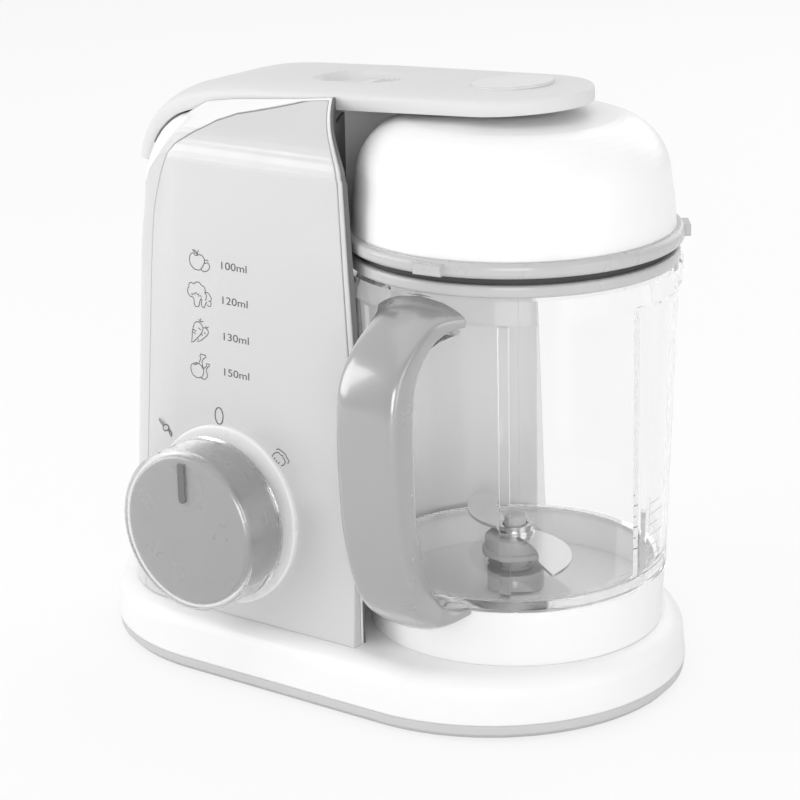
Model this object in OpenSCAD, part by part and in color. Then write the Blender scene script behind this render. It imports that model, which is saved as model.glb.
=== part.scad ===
// Countertop baby food maker: a steaming and blending bowl beside a control column,
// with a hinged steam arm that reaches over the bowl's domed lid.
// Origin: middle of the footprint, on the table. +X runs from the column to the bowl,
// -Y is the control face, +Z is up. Millimetres.

/* [Base] */
// Length of the oval base
base_l = 262; // [245:0.5:280]
// Width of the oval base
base_w = 161; // [150:1:172]
// Height of the deck above the table
deck_z = 26.5; // [23:0.5:30]
// Height of the grey rim band
rim_h = 5.9; // [3:0.1:8]
// How far the middle of the base lies to the left of the column's zero line
base_shift = 4; // [2:0.5:6]
// How far the feet hold the rim off the table
foot_lift = 1.2; // [0.8:0.1:3]
// Wall of the base shell
base_wall = 2.5; // [2:0.1:3.5]
// Diameter of a rubber foot
foot_d = 14; // [10:1:20]

/* [Bowl seat] */
// Distance of the bowl's axis from the column's zero line
bowl_x = 58.5; // [55:0.5:62]
// Radius of the seat at the deck
seat_r = 60; // [57:0.5:61]
// Height of the seat above the deck
seat_h = 23.3; // [20:0.1:28]
// Wall of the seat
seat_wall = 3; // [2:0.1:4]
// Thickness of the plate inside the seat
seat_plate = 3; // [2:0.1:4]

/* [Bowl] */
// Outer radius of the bowl at its foot
bowl_foot_r = 61.8; // [60:0.1:62]
// Outer radius of the bowl under its collar
bowl_top_r = 65.4; // [64:0.1:65.6]
// Height of the clear bowl up to the grey ring
bowl_h = 127.6; // [110:0.1:140]
// Height of the thicker collar at the bowl's mouth
collar_h = 11; // [8:0.5:16]
// How far the collar stands outside the wall below it
collar_step = 1.9; // [1.6:0.1:2.6]
// Wall of the bowl
bowl_wall = 2.6; // [2:0.1:3]
// Thickness of the bowl's floor
bowl_floor = 3; // [2.5:0.1:4]
// Number of ribs inside the bowl
rib_count = 6; // [3:1:12]
// How far a rib stands into the bowl
rib_depth = 2.2; // [1:0.1:3]
// Width of a rib
rib_w = 4; // [2:0.1:6]

/* [Lid] */
// How far the grey ring on the bowl stands outside the bowl's wall
ring_step = 0.6; // [0.4:0.1:1.6]
// Height of the grey ring on the bowl
ring_h = 4.9; // [3:0.1:7]
// Height of the black seal that shows
seal_h = 2.8; // [2:0.1:4]
// How far the lid's grey flange stands outside the bowl's wall
flange_step = 2.3; // [1.6:0.1:3.6]
// Height of the lid's grey flange
flange_h = 5.8; // [4:0.1:8]
// How far the foot of the dome stands inside the bowl's wall
dome_step = 1; // [0.4:0.1:3.4]
// Height of the dome
dome_h = 46; // [40:0.1:50]
// Wall of the dome
dome_wall = 2.4; // [2:0.1:3]
// Radius of the dome's shoulder
dome_shoulder_r = 24; // [18:1:28]
// Radius of the steam hole in the dome
steam_hole_r = 6; // [4:0.5:8]

/* [Column] */
// Place of the column's left side at the deck
column_left = -113; // [-116:0.5:-108]
// Place of the column's right tips beside the bowl
column_right = 28; // [20:0.5:34]
// Depth of the column at the deck
column_d = 141; // [130:1:144]
// Lean of the front and back towards each other, in degrees
front_lean = 3.2; // [0.5:0.1:4]
// Lean of the left side, in degrees
left_lean = 1.8; // [0.5:0.1:3]
// Radius of the column's two rounded corners
column_corner_r = 46; // [20:1:50]
// Gap between the lid's flange and the hollow that the bowl stands in
nook_gap = 2.3; // [1.8:0.1:3.3]
// Wall of the column
column_wall = 2.5; // [2:0.1:3]
// Thickness of the silver front panel
panel_t = 2; // [1.5:0.1:2.2]
// How far the panel's outline stands inside the column's
panel_inset = 5; // [3:0.5:9]
// Drop from the arm to the bend between the front and the sloping top
brow_drop = 18.4; // [14:0.1:24]
// Radius of that bend
brow_r = 12; // [6:1:16]

/* [Steam arm] */
// Width of the arm, which is also the diameter of its round end
arm_w = 64; // [56:1:66]
// Thickness of the arm at its edge
arm_t = 6; // [5:0.1:8]
// Gap between the dome and the arm
arm_gap = 1.5; // [1.2:0.1:4]
// Place of the arm's tail over the column's left side
arm_left = -109.5; // [-112:0.5:-108]
// Rise of the arm towards the bowl, in degrees
arm_rise = 3.4; // [2:0.1:4]
// Height of the crown across the arm
arm_crown = 3; // [2:0.1:5]
// Radius of the bend over the column's end
arm_bend_r = 34; // [26:1:40]
// Radius of the long curve after the bend
arm_sweep_r = 140; // [100:5:200]
// Wall of the arm's cover
arm_wall = 2; // [1.5:0.1:2.5]
// Diameter of the round cap on the arm's end
cap_d = 32.8; // [26:0.1:36]
// Length of the finger recess
recess_l = 41; // [34:1:46]
// Width of the finger recess
recess_w = 23; // [16:1:26]
// Travel of the latch slider
latch_travel = 4; // [2:0.5:5]
// Diameter of the hinge pin
pin_d = 3; // [2.5:0.1:4]

/* [Handle] */
// How far the grip's outer face stands outside the bowl's wall
grip_out = 38.6; // [32:0.1:42]
// Width of the grip
grip_w = 26; // [22:0.5:30]
// Thickness of the grip
grip_t = 17.5; // [14:0.5:18.5]
// Bearing of the handle from the bowl's axis, in degrees from straight ahead
grip_turn = 1; // [0:0.5:8]

/* [Control knob] */
// Place of the knob along the base
knob_x = -38.5; // [-42:0.5:-36]
// Height of the knob's axis
knob_z = 70; // [62:0.5:74]
// Radius of the knob
knob_r = 33; // [28:0.5:36]
// How far the knob stands in front of its bezel
knob_h = 21; // [14:0.5:22]
// Radius of the white bezel
bezel_r = 38.5; // [36.5:0.5:40]
// How far the bezel stands in front of the column's foot
bezel_h = 2.5; // [1:0.5:4]

/* [Drive] */
// Gap between the motor and the wall behind the bowl
motor_gap = 5; // [2:0.5:9]
// Diameter of the motor
motor_d = 56; // [48:1:58]
// Height of the motor
motor_h = 72; // [60:1:80]
// Pitch diameter of the motor's pulley
small_pulley_d = 18; // [16:0.5:22]
// Pitch diameter of the blade shaft's pulley
large_pulley_d = 54; // [44:0.5:60]
// Width of the belt
belt_w = 6; // [4:0.5:8]
// Thickness of the belt
belt_t = 1.6; // [1.2:0.1:2]
// Diameter of the blade shaft
shaft_d = 8; // [6:0.5:10]
// Diameter of the motor's shaft
motor_shaft_d = 5; // [4:0.5:6]

/* [Boiler] */
// Diameter of the boiler's steel cup
boiler_d = 58; // [50:1:62]
// Depth of the boiler's cup
boiler_h = 34; // [28:1:40]
// Diameter of the filler neck
filler_d = 26; // [20:1:30]

/* [Hidden] */
$fn = 96;
eps = 0.01;
gap = 0.3;
run = 0.05;

// Places worked out from the sizes above
base_r = base_w / 2;
base_mid = base_l / 2 - base_r;
base_x = -base_shift;
rim_z = foot_lift + rim_h;
seat_top = deck_z + seat_h;
bowl_top = seat_top + bowl_h;
ring_top = bowl_top + ring_h;
flange_z = ring_top + seal_h;
dome_z = flange_z + flange_h;
collar_r = bowl_top_r + collar_step;
ring_r = bowl_top_r + ring_step;
flange_r = bowl_top_r + flange_step;
dome_r = bowl_top_r - dome_step;
nook_r = flange_r + nook_gap;
grip_reach = bowl_top_r + grip_out;
arm_z = dome_z + dome_h + arm_gap + arm_t;
brow_z = arm_z - brow_drop;
motor_x = bowl_x - nook_r - column_wall - motor_gap - motor_d / 2;
column_y = column_d / 2;
column_x = (column_left + column_right) / 2;
knob_y = -column_y - bezel_h;
// The row's origin is the middle of the whole footprint, handle and base together
grip_flat = 9;
row_y = (grip_reach * cos(grip_turn) + (grip_w / 2 - grip_flat) * sin(grip_turn) - base_r) / 2;

// Points along an arc, from angle a to angle b
function arc(x, y, r, a, b, n = 8) =
    [for (i = [0 : n]) [x + r * cos(a + (b - a) * i / n), y + r * sin(a + (b - a) * i / n)]];

// The arm's upper edge is a bend, a long curve and a rising straight, one after another.
bend_end = 107;
sweep_end = 90 + arm_rise;
tail_end = 171;
bend_x = arm_left + arm_bend_r;
sweep_x = bend_x + (arm_bend_r - arm_sweep_r) * cos(bend_end);
straight_x = sweep_x + arm_sweep_r * cos(sweep_end);
straight_z = arm_z - (bowl_x - straight_x) * tan(arm_rise);
sweep_z = straight_z - arm_sweep_r * sin(sweep_end);
bend_z = sweep_z - (arm_bend_r - arm_sweep_r) * sin(bend_end);
arm_end_x = bowl_x + arm_w;

// The line a distance d under the arm's upper edge, from its tail to beyond its round end
function arm_line(d, from = tail_end) = concat(
    arc(bend_x, bend_z, arm_bend_r - d, from, bend_end, 14),
    arc(sweep_x, sweep_z, arm_sweep_r - d, bend_end, sweep_end, 6),
    [[straight_x + d * sin(arm_rise) + (arm_end_x - straight_x),
      straight_z - d * cos(arm_rise) + (arm_end_x - straight_x) * tan(arm_rise)]]);
function reversed(v) = [for (i = [len(v) - 1 : -1 : 0]) v[i]];

// Height of the line d under the arm's upper edge, on its straight part
function arm_top_at(x, d = 0) = straight_z + (x - straight_x) * tan(arm_rise) - d / cos(arm_rise);

// A solid turned round both ends of the oval and drawn straight between them
module oval_solid(points) {
    translate([base_x, 0, 0]) {
        for (x = [-base_mid, base_mid]) translate([x, 0, 0]) rotate_extrude() polygon(points);
        translate([-base_mid, 0, 0]) rotate([90, 0, 90]) linear_extrude(2 * base_mid) {
            polygon(points);
            mirror([1, 0]) polygon(points);
        }
    }
}

module at_bowl() { translate([bowl_x, 0, 0]) children(); }
module at_motor() { translate([motor_x, 0, 0]) children(); }
// Z of the child points out of the front, towards the user
module facing_front(x, y, z) { translate([x, y, z]) rotate([90, 0, 0]) children(); }
module ring(r_out, r_in, h) {
    difference() {
        cylinder(r = r_out, h = h);
        translate([0, 0, -1]) cylinder(r = r_in, h = h + 2);
    }
}

// ---------------------------------------------------------------- base
skirt_round = 9;
function skirt_profile(d) = concat(
    [[0, rim_z - (d > 0 ? 1 : 0)], [base_r - d, rim_z - (d > 0 ? 1 : 0)]],
    arc(base_r - 1 - skirt_round, deck_z - skirt_round, skirt_round - d, 8, 90, 8),
    [[0, deck_z - d]]);
screw_spots = [[base_x + 20 - base_l / 2, 0], [-58, 60], [-58, -60], [30, 62], [30, -62], [base_x + base_l / 2 - 19, 0]];
screw_boss_r = 4;
screw_r = 1.5;
shaft_hole_r = 16;
belt_z = 10.5;
well_x = motor_x - 1;

module base_shell() {
    color("white") {
        difference() {
            oval_solid(skirt_profile(0));
            oval_solid(skirt_profile(base_wall));
            at_bowl() translate([0, 0, deck_z - base_wall - 1]) cylinder(r = shaft_hole_r, h = base_wall + 2);
            translate([well_x, 0, deck_z - base_wall - 1]) cylinder(r = motor_d / 2 + 8, h = base_wall + 2);
            for (p = column_bosses) translate([p.x, p.y, deck_z - base_wall - 1]) cylinder(r = screw_r, h = base_wall + 2);
            at_bowl() for (a = seat_pins) rotate(a) translate([40, 0, deck_z - base_wall - 1]) cylinder(r = screw_r, h = 5);
        }
        for (p = screw_spots) translate([p.x, p.y, 5]) ring(screw_boss_r, screw_r, deck_z - base_wall - 5 + eps);
    }
}

module base_rim() {
    flare = [[0, foot_lift], [base_r - 2.5, foot_lift], [base_r - 0.6, foot_lift + 2], [base_r, rim_z], [0, rim_z]];
    color("darkgray") difference() {
        oval_solid(flare);
        oval_solid([[0, 0], [base_r - 4.5, 0], [base_r - 4.5, rim_z + 1], [0, rim_z + 1]]);
    }
}

cover_z = 2.4;
cover_t = 2;
foot_spots = [for (s = [-1, 1]) each [[base_x + 27 - base_l / 2, s * (base_r - 42.5)], [10, s * (base_r - 18.5)], [base_x + base_l / 2 - 17, s * 24]]];

module bottom_cover() {
    color("gainsboro") difference() {
        oval_solid([[0, cover_z], [base_r - 4.7, cover_z], [base_r - 4.7, cover_z + cover_t], [0, cover_z + cover_t]]);
        for (p = screw_spots) translate([p.x, p.y, 0]) cylinder(r = screw_r + 0.3, h = 10);
        for (p = foot_spots) translate([p.x, p.y, cover_z - 1]) cylinder(d = foot_d + 0.2, h = 2);
        for (i = [-5 : 5]) translate([motor_x + i * 5 - 1.25, -16, 0]) cube([2.5, 32, 10]);
    }
}

module rubber_feet() {
    color("dimgray") for (p = foot_spots) translate([p.x, p.y, 0]) {
        cylinder(d1 = foot_d - 2, d2 = foot_d, h = 1.2);
        translate([0, 0, 1.2]) cylinder(d = foot_d, h = cover_z + 1 - 1.2);
    }
}

module screw(length, r, head_r, head_h) {
    cylinder(r = head_r, h = head_h);
    translate([0, 0, head_h]) cylinder(r = r, h = length);
}

module bottom_screws() {
    color("silver") for (p = screw_spots) translate([p.x, p.y, cover_z - 1.3]) screw(9, screw_r - 0.05, 3, 1.3);
}

// ---------------------------------------------------------------- bowl seat and drive
seat_lip_r = seat_r + 1.4;
seat_plate_z = deck_z + 5;
seat_pins = [60, 180, 300];
lug_turn = 20;

module bowl_seat() {
    color("white") at_bowl() difference() {
        union() {
            difference() {
                translate([0, 0, deck_z]) cylinder(r1 = seat_r, r2 = seat_lip_r, h = seat_h);
                translate([0, 0, deck_z - 1])
                    cylinder(r1 = seat_r - seat_wall, r2 = seat_lip_r - seat_wall, h = seat_h + 2);
            }
            translate([0, 0, seat_plate_z]) cylinder(r = seat_r - seat_wall + 1.5, h = seat_plate);
            translate([0, 0, deck_z]) cylinder(r = shaft_d / 2 + 7, h = seat_plate_z - deck_z + eps);
            for (a = seat_pins) rotate(a) translate([40, 0, deck_z]) cylinder(r = 4, h = seat_plate_z - deck_z + eps);
        }
        translate([0, 0, deck_z - 1]) cylinder(r = shaft_d / 2 + 3, h = seat_h);
        for (a = seat_pins) rotate(a) translate([40, 0, deck_z - 1]) cylinder(r = screw_r, h = 6);
    }
}

module seat_screws() {
    color("silver") at_bowl() for (a = seat_pins) rotate(a)
        translate([40, 0, deck_z - base_wall - 1.5]) screw(base_wall + 4, screw_r - 0.05, 3, 1.5);
}

module shaft_bush() {
    color("goldenrod") at_bowl() translate([0, 0, deck_z - 2])
        ring(shaft_d / 2 + 3 - 0.02, shaft_d / 2 + run, seat_plate_z - deck_z + seat_plate + 2);
}

module blade_shaft() {
    color("silver") at_bowl() translate([0, 0, 5]) cylinder(d = shaft_d, h = dog_z + dog_h - 5);
}

// A pulley with a shallow grooved crown between two flanges, on a shaft
module pulley(pitch_d, shaft, width) {
    r = pitch_d / 2 - belt_t / 2 - 0.1;
    rotate_extrude() difference() {
        polygon([[shaft / 2 + 0.02, -width / 2 - 1.5], [r + 2, -width / 2 - 1.5], [r + 2, -width / 2 - 0.5],
            [r, -width / 2], [r, width / 2], [r + 2, width / 2 + 0.5], [r + 2, width / 2 + 1.5],
            [shaft / 2 + 0.02, width / 2 + 1.5]]);
        for (i = [-2 : 2]) translate([r, i * width / 6]) circle(r = 0.35, $fn = 16);
    }
}

module large_pulley() {
    color("dimgray") at_bowl() translate([0, 0, belt_z]) difference() {
        pulley(large_pulley_d, shaft_d, belt_w);
        for (a = [0 : 60 : 300]) rotate(a) translate([15.5, 0, -10]) cylinder(r = 4.5, h = 20);
    }
}

module small_pulley() {
    color("dimgray") at_motor() translate([0, 0, belt_z]) pulley(small_pulley_d, motor_shaft_d, belt_w);
}

// The belt's outline: two circles and the band between their tangent points
module belt_outline(extra) {
    big = large_pulley_d / 2 + extra;
    small = small_pulley_d / 2 + extra;
    span = bowl_x - motor_x;
    lean = acos((big - small) / span);
    translate([bowl_x, 0]) circle(r = big);
    translate([motor_x, 0]) circle(r = small);
    polygon([for (side = [1, -1], k = [0, 1])
        let (r = ((k == 0) == (side == 1) ? big : small) + 0.06, x = (k == 0) == (side == 1) ? bowl_x : motor_x)
        [x - r * cos(lean), side * r * sin(lean)]]);
}

module drive_belt() {
    color("black") translate([0, 0, belt_z - belt_w / 2]) difference() {
        linear_extrude(belt_w) belt_outline(belt_t / 2);
        translate([0, 0, -1]) linear_extrude(belt_w + 2) belt_outline(-belt_t / 2);
    }
}

// Three driving teeth that stand up round a hub
dog_r = 9;
dog_z = seat_plate_z + seat_plate + 1;
dog_h = 6;
module drive_dog() {
    color("darkslategray") at_bowl() translate([0, 0, dog_z]) difference() {
        union() {
            cylinder(r = shaft_d / 2 + 1.6, h = dog_h);
            intersection() {
                cylinder(r = dog_r, h = dog_h - 1);
                for (a = [0 : 120 : 240]) rotate(a) translate([0, -2, 0]) cube([dog_r + 2, 4, dog_h]);
            }
        }
        translate([0, 0, -1]) cylinder(r = shaft_d / 2 + 0.02, h = dog_h + 2);
    }
}

motor_z = deck_z - 5;
module motor_shaft() {
    color("silver") at_motor() translate([0, 0, 5]) cylinder(d = motor_shaft_d, h = motor_z + motor_h - 1);
}

module motor() {
    color("gray") at_motor() difference() {
        union() {
            translate([0, 0, motor_z + 4]) cylinder(d = motor_d, h = motor_h - 8);
            translate([0, 0, motor_z]) cylinder(d = motor_d - 8, h = motor_h);
            translate([0, 0, motor_z - 3]) cylinder(d = 16, h = motor_h + 5);
        }
        translate([0, 0, motor_z - 4]) cylinder(d = motor_shaft_d + 2 * run, h = motor_h + 8);
        for (a = [30 : 60 : 330]) rotate(a) translate([0, 0, motor_z + 14]) translate([motor_d / 2 - 3, -4, 0]) cube([6, 8, 30]);
    }
}

bracket_z = motor_z - 3;
post_r = motor_d / 2 + 3;
post_turns = [45, 135, 225, 315];
module motor_bracket() {
    color("silver") at_motor() difference() {
        union() {
            translate([0, 0, bracket_z]) cylinder(r = motor_d / 2 - 5, h = 2.5);
            for (a = post_turns) rotate(a) translate([0, -6, bracket_z]) cube([post_r + 5, 12, 2.5]);
        }
        translate([0, 0, bracket_z - 1]) cylinder(d = 16.2, h = 5);
        for (a = post_turns) rotate(a) translate([post_r, 0, bracket_z - 1]) cylinder(r = 2.5, h = 5);
    }
}

module motor_mounts() {
    color("dimgray") at_motor() for (a = post_turns) rotate(a) translate([post_r, 0, 0]) {
        translate([0, 0, cover_z + cover_t]) cylinder(r = 4.5, h = bracket_z - cover_z - cover_t);
        translate([0, 0, bracket_z - 0.1]) cylinder(r = 2.4, h = 2.7);
        translate([0, 0, bracket_z + 2.5]) cylinder(r = 4, h = 1.5);
    }
}

// ---------------------------------------------------------------- column
// Half depth of the column at a height, and the place of its left side there
function depth_at(z, d = 0) = column_y - (z - deck_z) * tan(front_lean) - d / cos(front_lean);
function left_at(z, d = 0) = column_left + (z - deck_z) * tan(left_lean) + d / cos(left_lean);
sky = 300;

// The column's walls drawn a distance d inside its outer face. Each corner is a cylinder that
// leans with both walls beside it, so the walls run into it smoothly.
module column_walls(d, low) {
    r = column_corner_r;
    // The flat walls stand a hair inside the corners' cylinders, so that the two cross cleanly
    w = d + 0.02;
    for (s = [-1, 1]) translate([left_at(deck_z, r), -s * depth_at(deck_z, r), deck_z])
        rotate([s * -atan(tan(front_lean) * cos(left_lean)), left_lean, 0])
            translate([0, 0, -30]) cylinder(r = r - d, h = sky);
    intersection() {
        slice_x([[left_at(low, r), low], [column_right - d, low], [column_right - d, sky], [left_at(sky, r), sky]]);
        slice_y([[-depth_at(low, w), low], [depth_at(low, w), low], [depth_at(sky, w), sky], [-depth_at(sky, w), sky]]);
    }
    intersection() {
        slice_x([[left_at(low, w), low], [left_at(low, r) + 9, low], [left_at(sky, r) + 9, sky], [left_at(sky, w), sky]]);
        slice_y([[-depth_at(low, r), low], [depth_at(low, r), low], [depth_at(sky, r), sky], [-depth_at(sky, r), sky]]);
    }
}
// Solids drawn by their outline seen from the front, and from the side
module slice_x(points) { translate([0, 150, 0]) rotate([90, 0, 0]) linear_extrude(300) polygon(points); }
module slice_y(points) { translate([-200, 0, 0]) rotate([90, 0, 90]) linear_extrude(400) polygon(points); }

// Front outline of the column's top, a distance d inside it: a shoulder, then the arm's underside
module column_top(d, low) {
    slice_x(concat([[column_right + 5, low], [column_left - 5, low]],
        [[column_left - 5, bend_z - 8 - d], [bend_x - (arm_bend_r - arm_t - gap - d), bend_z - d / 2]],
        arm_line(arm_t + gap + d, 176)));
}

// Side outline of the column's top: a rounded brow, and a roof that slopes up to the arm
roof_slope = 12;
module column_roof(d, low) {
    front = depth_at(brow_z, d);
    edge = arc(front - brow_r, brow_z - brow_r - d / 2, brow_r, front_lean, 90 - roof_slope, 6);
    peak = brow_z - brow_r - d / 2 + brow_r / cos(roof_slope) + (front - brow_r) * tan(roof_slope);
    slice_y(concat([[-front - 20, low], [front + 20, low], [front + 20, edge[0].y - 25]], edge, [[0, peak]],
        reversed([for (p = edge) [-p.x, p.y]]), [[-front - 20, edge[0].y - 25]]));
}

module column_solid(d, low = deck_z) {
    difference() {
        intersection() {
            column_walls(d, low);
            intersection() {
                column_top(d, low);
                column_roof(d, low);
            }
        }
        at_bowl() translate([0, 0, low - 40]) cylinder(r = nook_r + d, h = 400);
    }
}

panel_fit = 0.2;
panel_left = column_left + 33;
// Front outline of the silver panel, grown by g: a leaning left edge, a wide corner and a top
// that runs parallel to the arm
panel_corner = 36;
panel_mid = panel_left + panel_corner;
module panel_outline(g) {
    polygon(concat([[column_right + 9, deck_z - 1], [panel_left - 7 - g, deck_z - 1]],
        arc(panel_mid, arm_top_at(panel_mid, arm_t + panel_inset + panel_corner), panel_corner + g, 180, 90 + arm_rise, 8),
        [[arm_end_x, arm_top_at(arm_end_x, arm_t + panel_inset - g)]]));
}

module panel_zone(g) {
    translate([0, -arm_w / 2 - 2 + g, 0]) rotate([90, 0, 0]) linear_extrude(60) panel_outline(g);
}

// Upright strip of the nook's wall just behind its front edge, c smaller all round
trim_from = -163;
trim_to = -100;
trim_t = 1.2;
module trim_zone(c) {
    at_bowl() translate([0, 0, deck_z + c]) intersection() {
        ring(nook_r + trim_t - c, nook_r - 1, sky);
        linear_extrude(sky) polygon([[0, 0],
            [200 * cos(trim_from + c), 200 * sin(trim_from + c)], [200 * cos(trim_to - c), 200 * sin(trim_to - c)]]);
    }
}

knob_hole_r = 12;
hinge_x = arm_left + 7.5;
hinge_z = bend_z + arm_bend_r * sin(tail_end) + 2.7;
ear_y = 20;
knuckle_r = 4.5;
filler_x = motor_x - 6;
port_x = bowl_x - nook_r - column_wall - 8;
port_y = 16;
port_r = 5;
inlet_z = 44;

column_bosses = [[column_left + 6, 20], [column_left + 6, -20], [-15, column_y - 6.5], [-15, -column_y + 8]];
switch_y = -column_y + 12;

// What the arm's tail sweeps, and e more at each end
tail_r = norm([arm_left - arm_crown - hinge_x, 2]) + 1.2;
module tail_sweep(r, e) {
    translate([hinge_x, arm_w / 2 + e, hinge_z]) rotate([90, 0, 0]) cylinder(r = r, h = arm_w + 2 * e);
}
module column_shell() {
    color("white") difference() {
        union() {
            difference() {
                union() {
                    difference() {
                        column_solid(0);
                        column_solid(column_wall, deck_z - 1);
                    }
                    // Wall round the pocket that the arm's tail swings into
                    intersection() {
                        column_solid(0.3);
                        tail_sweep(tail_r + 1.8, 2);
                    }
                }
                difference() {
                    panel_zone(0.15);
                    column_solid(panel_t + panel_fit, deck_z - 1);
                    at_bowl() cylinder(r = nook_r + column_wall, h = sky);
                }
                // Clearance for the arm's tail as it swings down
                tail_sweep(tail_r, 0.6);
            }
            // Backing behind the panel, one wall further in
            intersection() {
                difference() {
                    column_solid(panel_t + panel_fit);
                    column_solid(panel_t + panel_fit + column_wall, deck_z - 1);
                }
                panel_zone(3);
            }
            // Socket for the switch
            intersection() {
                facing_front(knob_x, switch_y, knob_z) cylinder(r = knob_hole_r + 2.5, h = 20);
                column_solid(panel_t + 0.3);
            }
            // Bosses for the screws that come up through the deck
            for (p = column_bosses) translate([p.x, p.y, deck_z]) cylinder(r = 4, h = 9);
            // The middle knuckle of the hinge, and the block it grows from
            translate([hinge_x, ear_y, hinge_z]) rotate([90, 0, 0]) cylinder(r = knuckle_r, h = 2 * ear_y);
            intersection() {
                column_solid(0.2);
                translate([hinge_x + 1, -ear_y, hinge_z - 3.5]) cube([12, 2 * ear_y, 20]);
            }
        }
        for (p = column_bosses) translate([p.x, p.y, deck_z - 1]) cylinder(r = screw_r, h = 8);
        translate([hinge_x, ear_y + 1, hinge_z]) rotate([90, 0, 0]) cylinder(d = pin_d + 2 * run, h = 2 * ear_y + 2);
        facing_front(knob_x, switch_y + 5, knob_z) cylinder(r = knob_hole_r, h = 40);
        translate([filler_x, 0, 0]) cylinder(d = filler_d + 0.4, h = 300);
        translate([port_x, port_y, 150]) cylinder(r = port_r + 0.1, h = 200);
        // Slot for the latch's tongue
        at_recess(arm_t + 14) translate([tongue_x - 4.5, -tongue_w / 2 - 0.6, 0]) cube([tongue_t + 6, tongue_w + 1.2, 14]);
        trim_zone(0);
        // Cord inlet at the lower back and cooling slots above it
        translate([column_x, column_y - 6, inlet_z]) rotate([-90, 0, 0]) cylinder(r = 6.1, h = 12);
        for (i = [0 : 6]) translate([column_x - 24, column_y - 12, 64 + i * 6]) cube([48, 20, 2.5]);
    }
}

module front_panel() {
    color("silver") difference() {
        intersection() {
            difference() {
                column_solid(0);
                column_solid(panel_t, deck_z - 1);
            }
            panel_zone(0);
        }
        facing_front(knob_x, -column_y + 20, knob_z) cylinder(r = knob_hole_r, h = 40);
        at_bowl() cylinder(r = nook_r + column_wall + 0.1, h = sky);
    }
}

// Dark strip let into the nook's wall behind the panel's edge
module side_trim() {
    color("dimgray") intersection() {
        column_solid(0);
        trim_zone(0.05);
    }
}

module column_screws() {
    color("silver") for (p = column_bosses)
        translate([p.x, p.y, deck_z - base_wall - 1.5]) screw(base_wall + 5, screw_r - 0.05, 3, 1.5);
}

// ---------------------------------------------------------------- knob
switch_w = 28;
switch_shaft_r = 3;

module knob_bezel() {
    color("white") difference() {
        facing_front(knob_x, -column_y + 8, knob_z) rotate_extrude() let (top = bezel_h + 8)
            polygon(concat([[switch_shaft_r + 1, 0], [bezel_r, 0], [bezel_r, top - 1.5]],
                arc(bezel_r - 1.5, top - 1.5, 1.5, 0, 90, 4), [[switch_shaft_r + 1, top]]));
        column_solid(0);
    }
}

module rotary_switch() {
    color("dimgray") difference() {
        union() {
            translate([knob_x - switch_w / 2, switch_y, knob_z - switch_w / 2]) cube([switch_w, 11, switch_w]);
            facing_front(knob_x, switch_y, knob_z) cylinder(r = knob_hole_r - 0.1, h = 8);
        }
        facing_front(knob_x, switch_y + 30, knob_z) cylinder(r = switch_shaft_r + run, h = 60);
    }
}

module switch_shaft() {
    color("silver") facing_front(knob_x, switch_y + 9, knob_z)
        cylinder(r = switch_shaft_r, h = switch_y + 9 - knob_y + 10);
}

knob_gap = 0.8;
module knob() {
    top = knob_h - knob_gap;
    color("gray") difference() {
        facing_front(knob_x, knob_y - knob_gap, knob_z) difference() {
            rotate_extrude() polygon(concat(
                [[0, 0], [knob_r + 1, 0], [knob_r + 1, 2], [knob_r, 4]],
                [[knob_r - 0.6, top - 4]], arc(knob_r - 3.6, top - 3, 3, 0, 80, 5), [[0, top]]));
            translate([0, 0, -1]) cylinder(r = switch_shaft_r + 0.02, h = 11.2);
            translate([0, 0, -1]) ring(knob_r - 4, 9, top - 3);
        }
        translate([knob_x - pointer_w / 2 - 0.05, knob_y - knob_h - 1, knob_z + pointer_low])
            cube([pointer_w + 0.1, 4, 40]);
    }
}

pointer_w = 3.4;
pointer_low = 12;
module knob_pointer() {
    top = knob_h - knob_gap;
    color("black") intersection() {
        facing_front(knob_x, knob_y - knob_gap, knob_z) cylinder(r = knob_r - 3.6, h = top - 0.2);
        translate([knob_x - pointer_w / 2, knob_y - knob_h - 1, knob_z + pointer_low]) cube([pointer_w, 3.95, 30]);
    }
}

// ---------------------------------------------------------------- boiler and electrics
boiler_z = brow_z - 62;
boiler_top = boiler_z + boiler_h;
module at_boiler() { translate([filler_x, 0, 0]) children(); }

module boiler_cup() {
    color("silver") at_boiler() rotate_extrude() polygon([
        [0, boiler_z], [boiler_d / 2, boiler_z], [boiler_d / 2, boiler_top - 1.2], [boiler_d / 2 + 4, boiler_top - 1.2],
        [boiler_d / 2 + 4, boiler_top], [boiler_d / 2 - 1.2, boiler_top], [boiler_d / 2 - 1.2, boiler_z + 1.2],
        [0, boiler_z + 1.2]]);
}

module boiler_heater() {
    color("darkgray") at_boiler() {
        translate([0, 0, boiler_z - 4]) cylinder(d = boiler_d - 8, h = 4);
        translate([0, 0, boiler_z - 8]) rotate_extrude() translate([boiler_d / 2 - 10, 0]) circle(r = 4, $fn = 32);
    }
}

module boiler_gasket() {
    color("dimgray") at_boiler() translate([0, 0, boiler_top]) ring(boiler_d / 2 + 4, boiler_d / 2 - 2, 2);
}

filler_top = arm_top_at(filler_x, arm_t + gap) - 3;
module filler_neck() {
    z = boiler_top + 2;
    color("whitesmoke") difference() {
        union() {
            at_boiler() translate([0, 0, z]) cylinder(d = boiler_d + 8, h = 3);
            at_boiler() translate([0, 0, z]) cylinder(d = filler_d, h = filler_top - z);
            translate([filler_x + boiler_d / 2 - 8, 0, z]) cylinder(r = 6, h = 9);
        }
        at_boiler() translate([0, 0, z - 1]) cylinder(d = filler_d - 4, h = 60);
        translate([filler_x + boiler_d / 2 - 8, 0, z - 1]) cylinder(r = 4, h = 30);
    }
}

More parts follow.
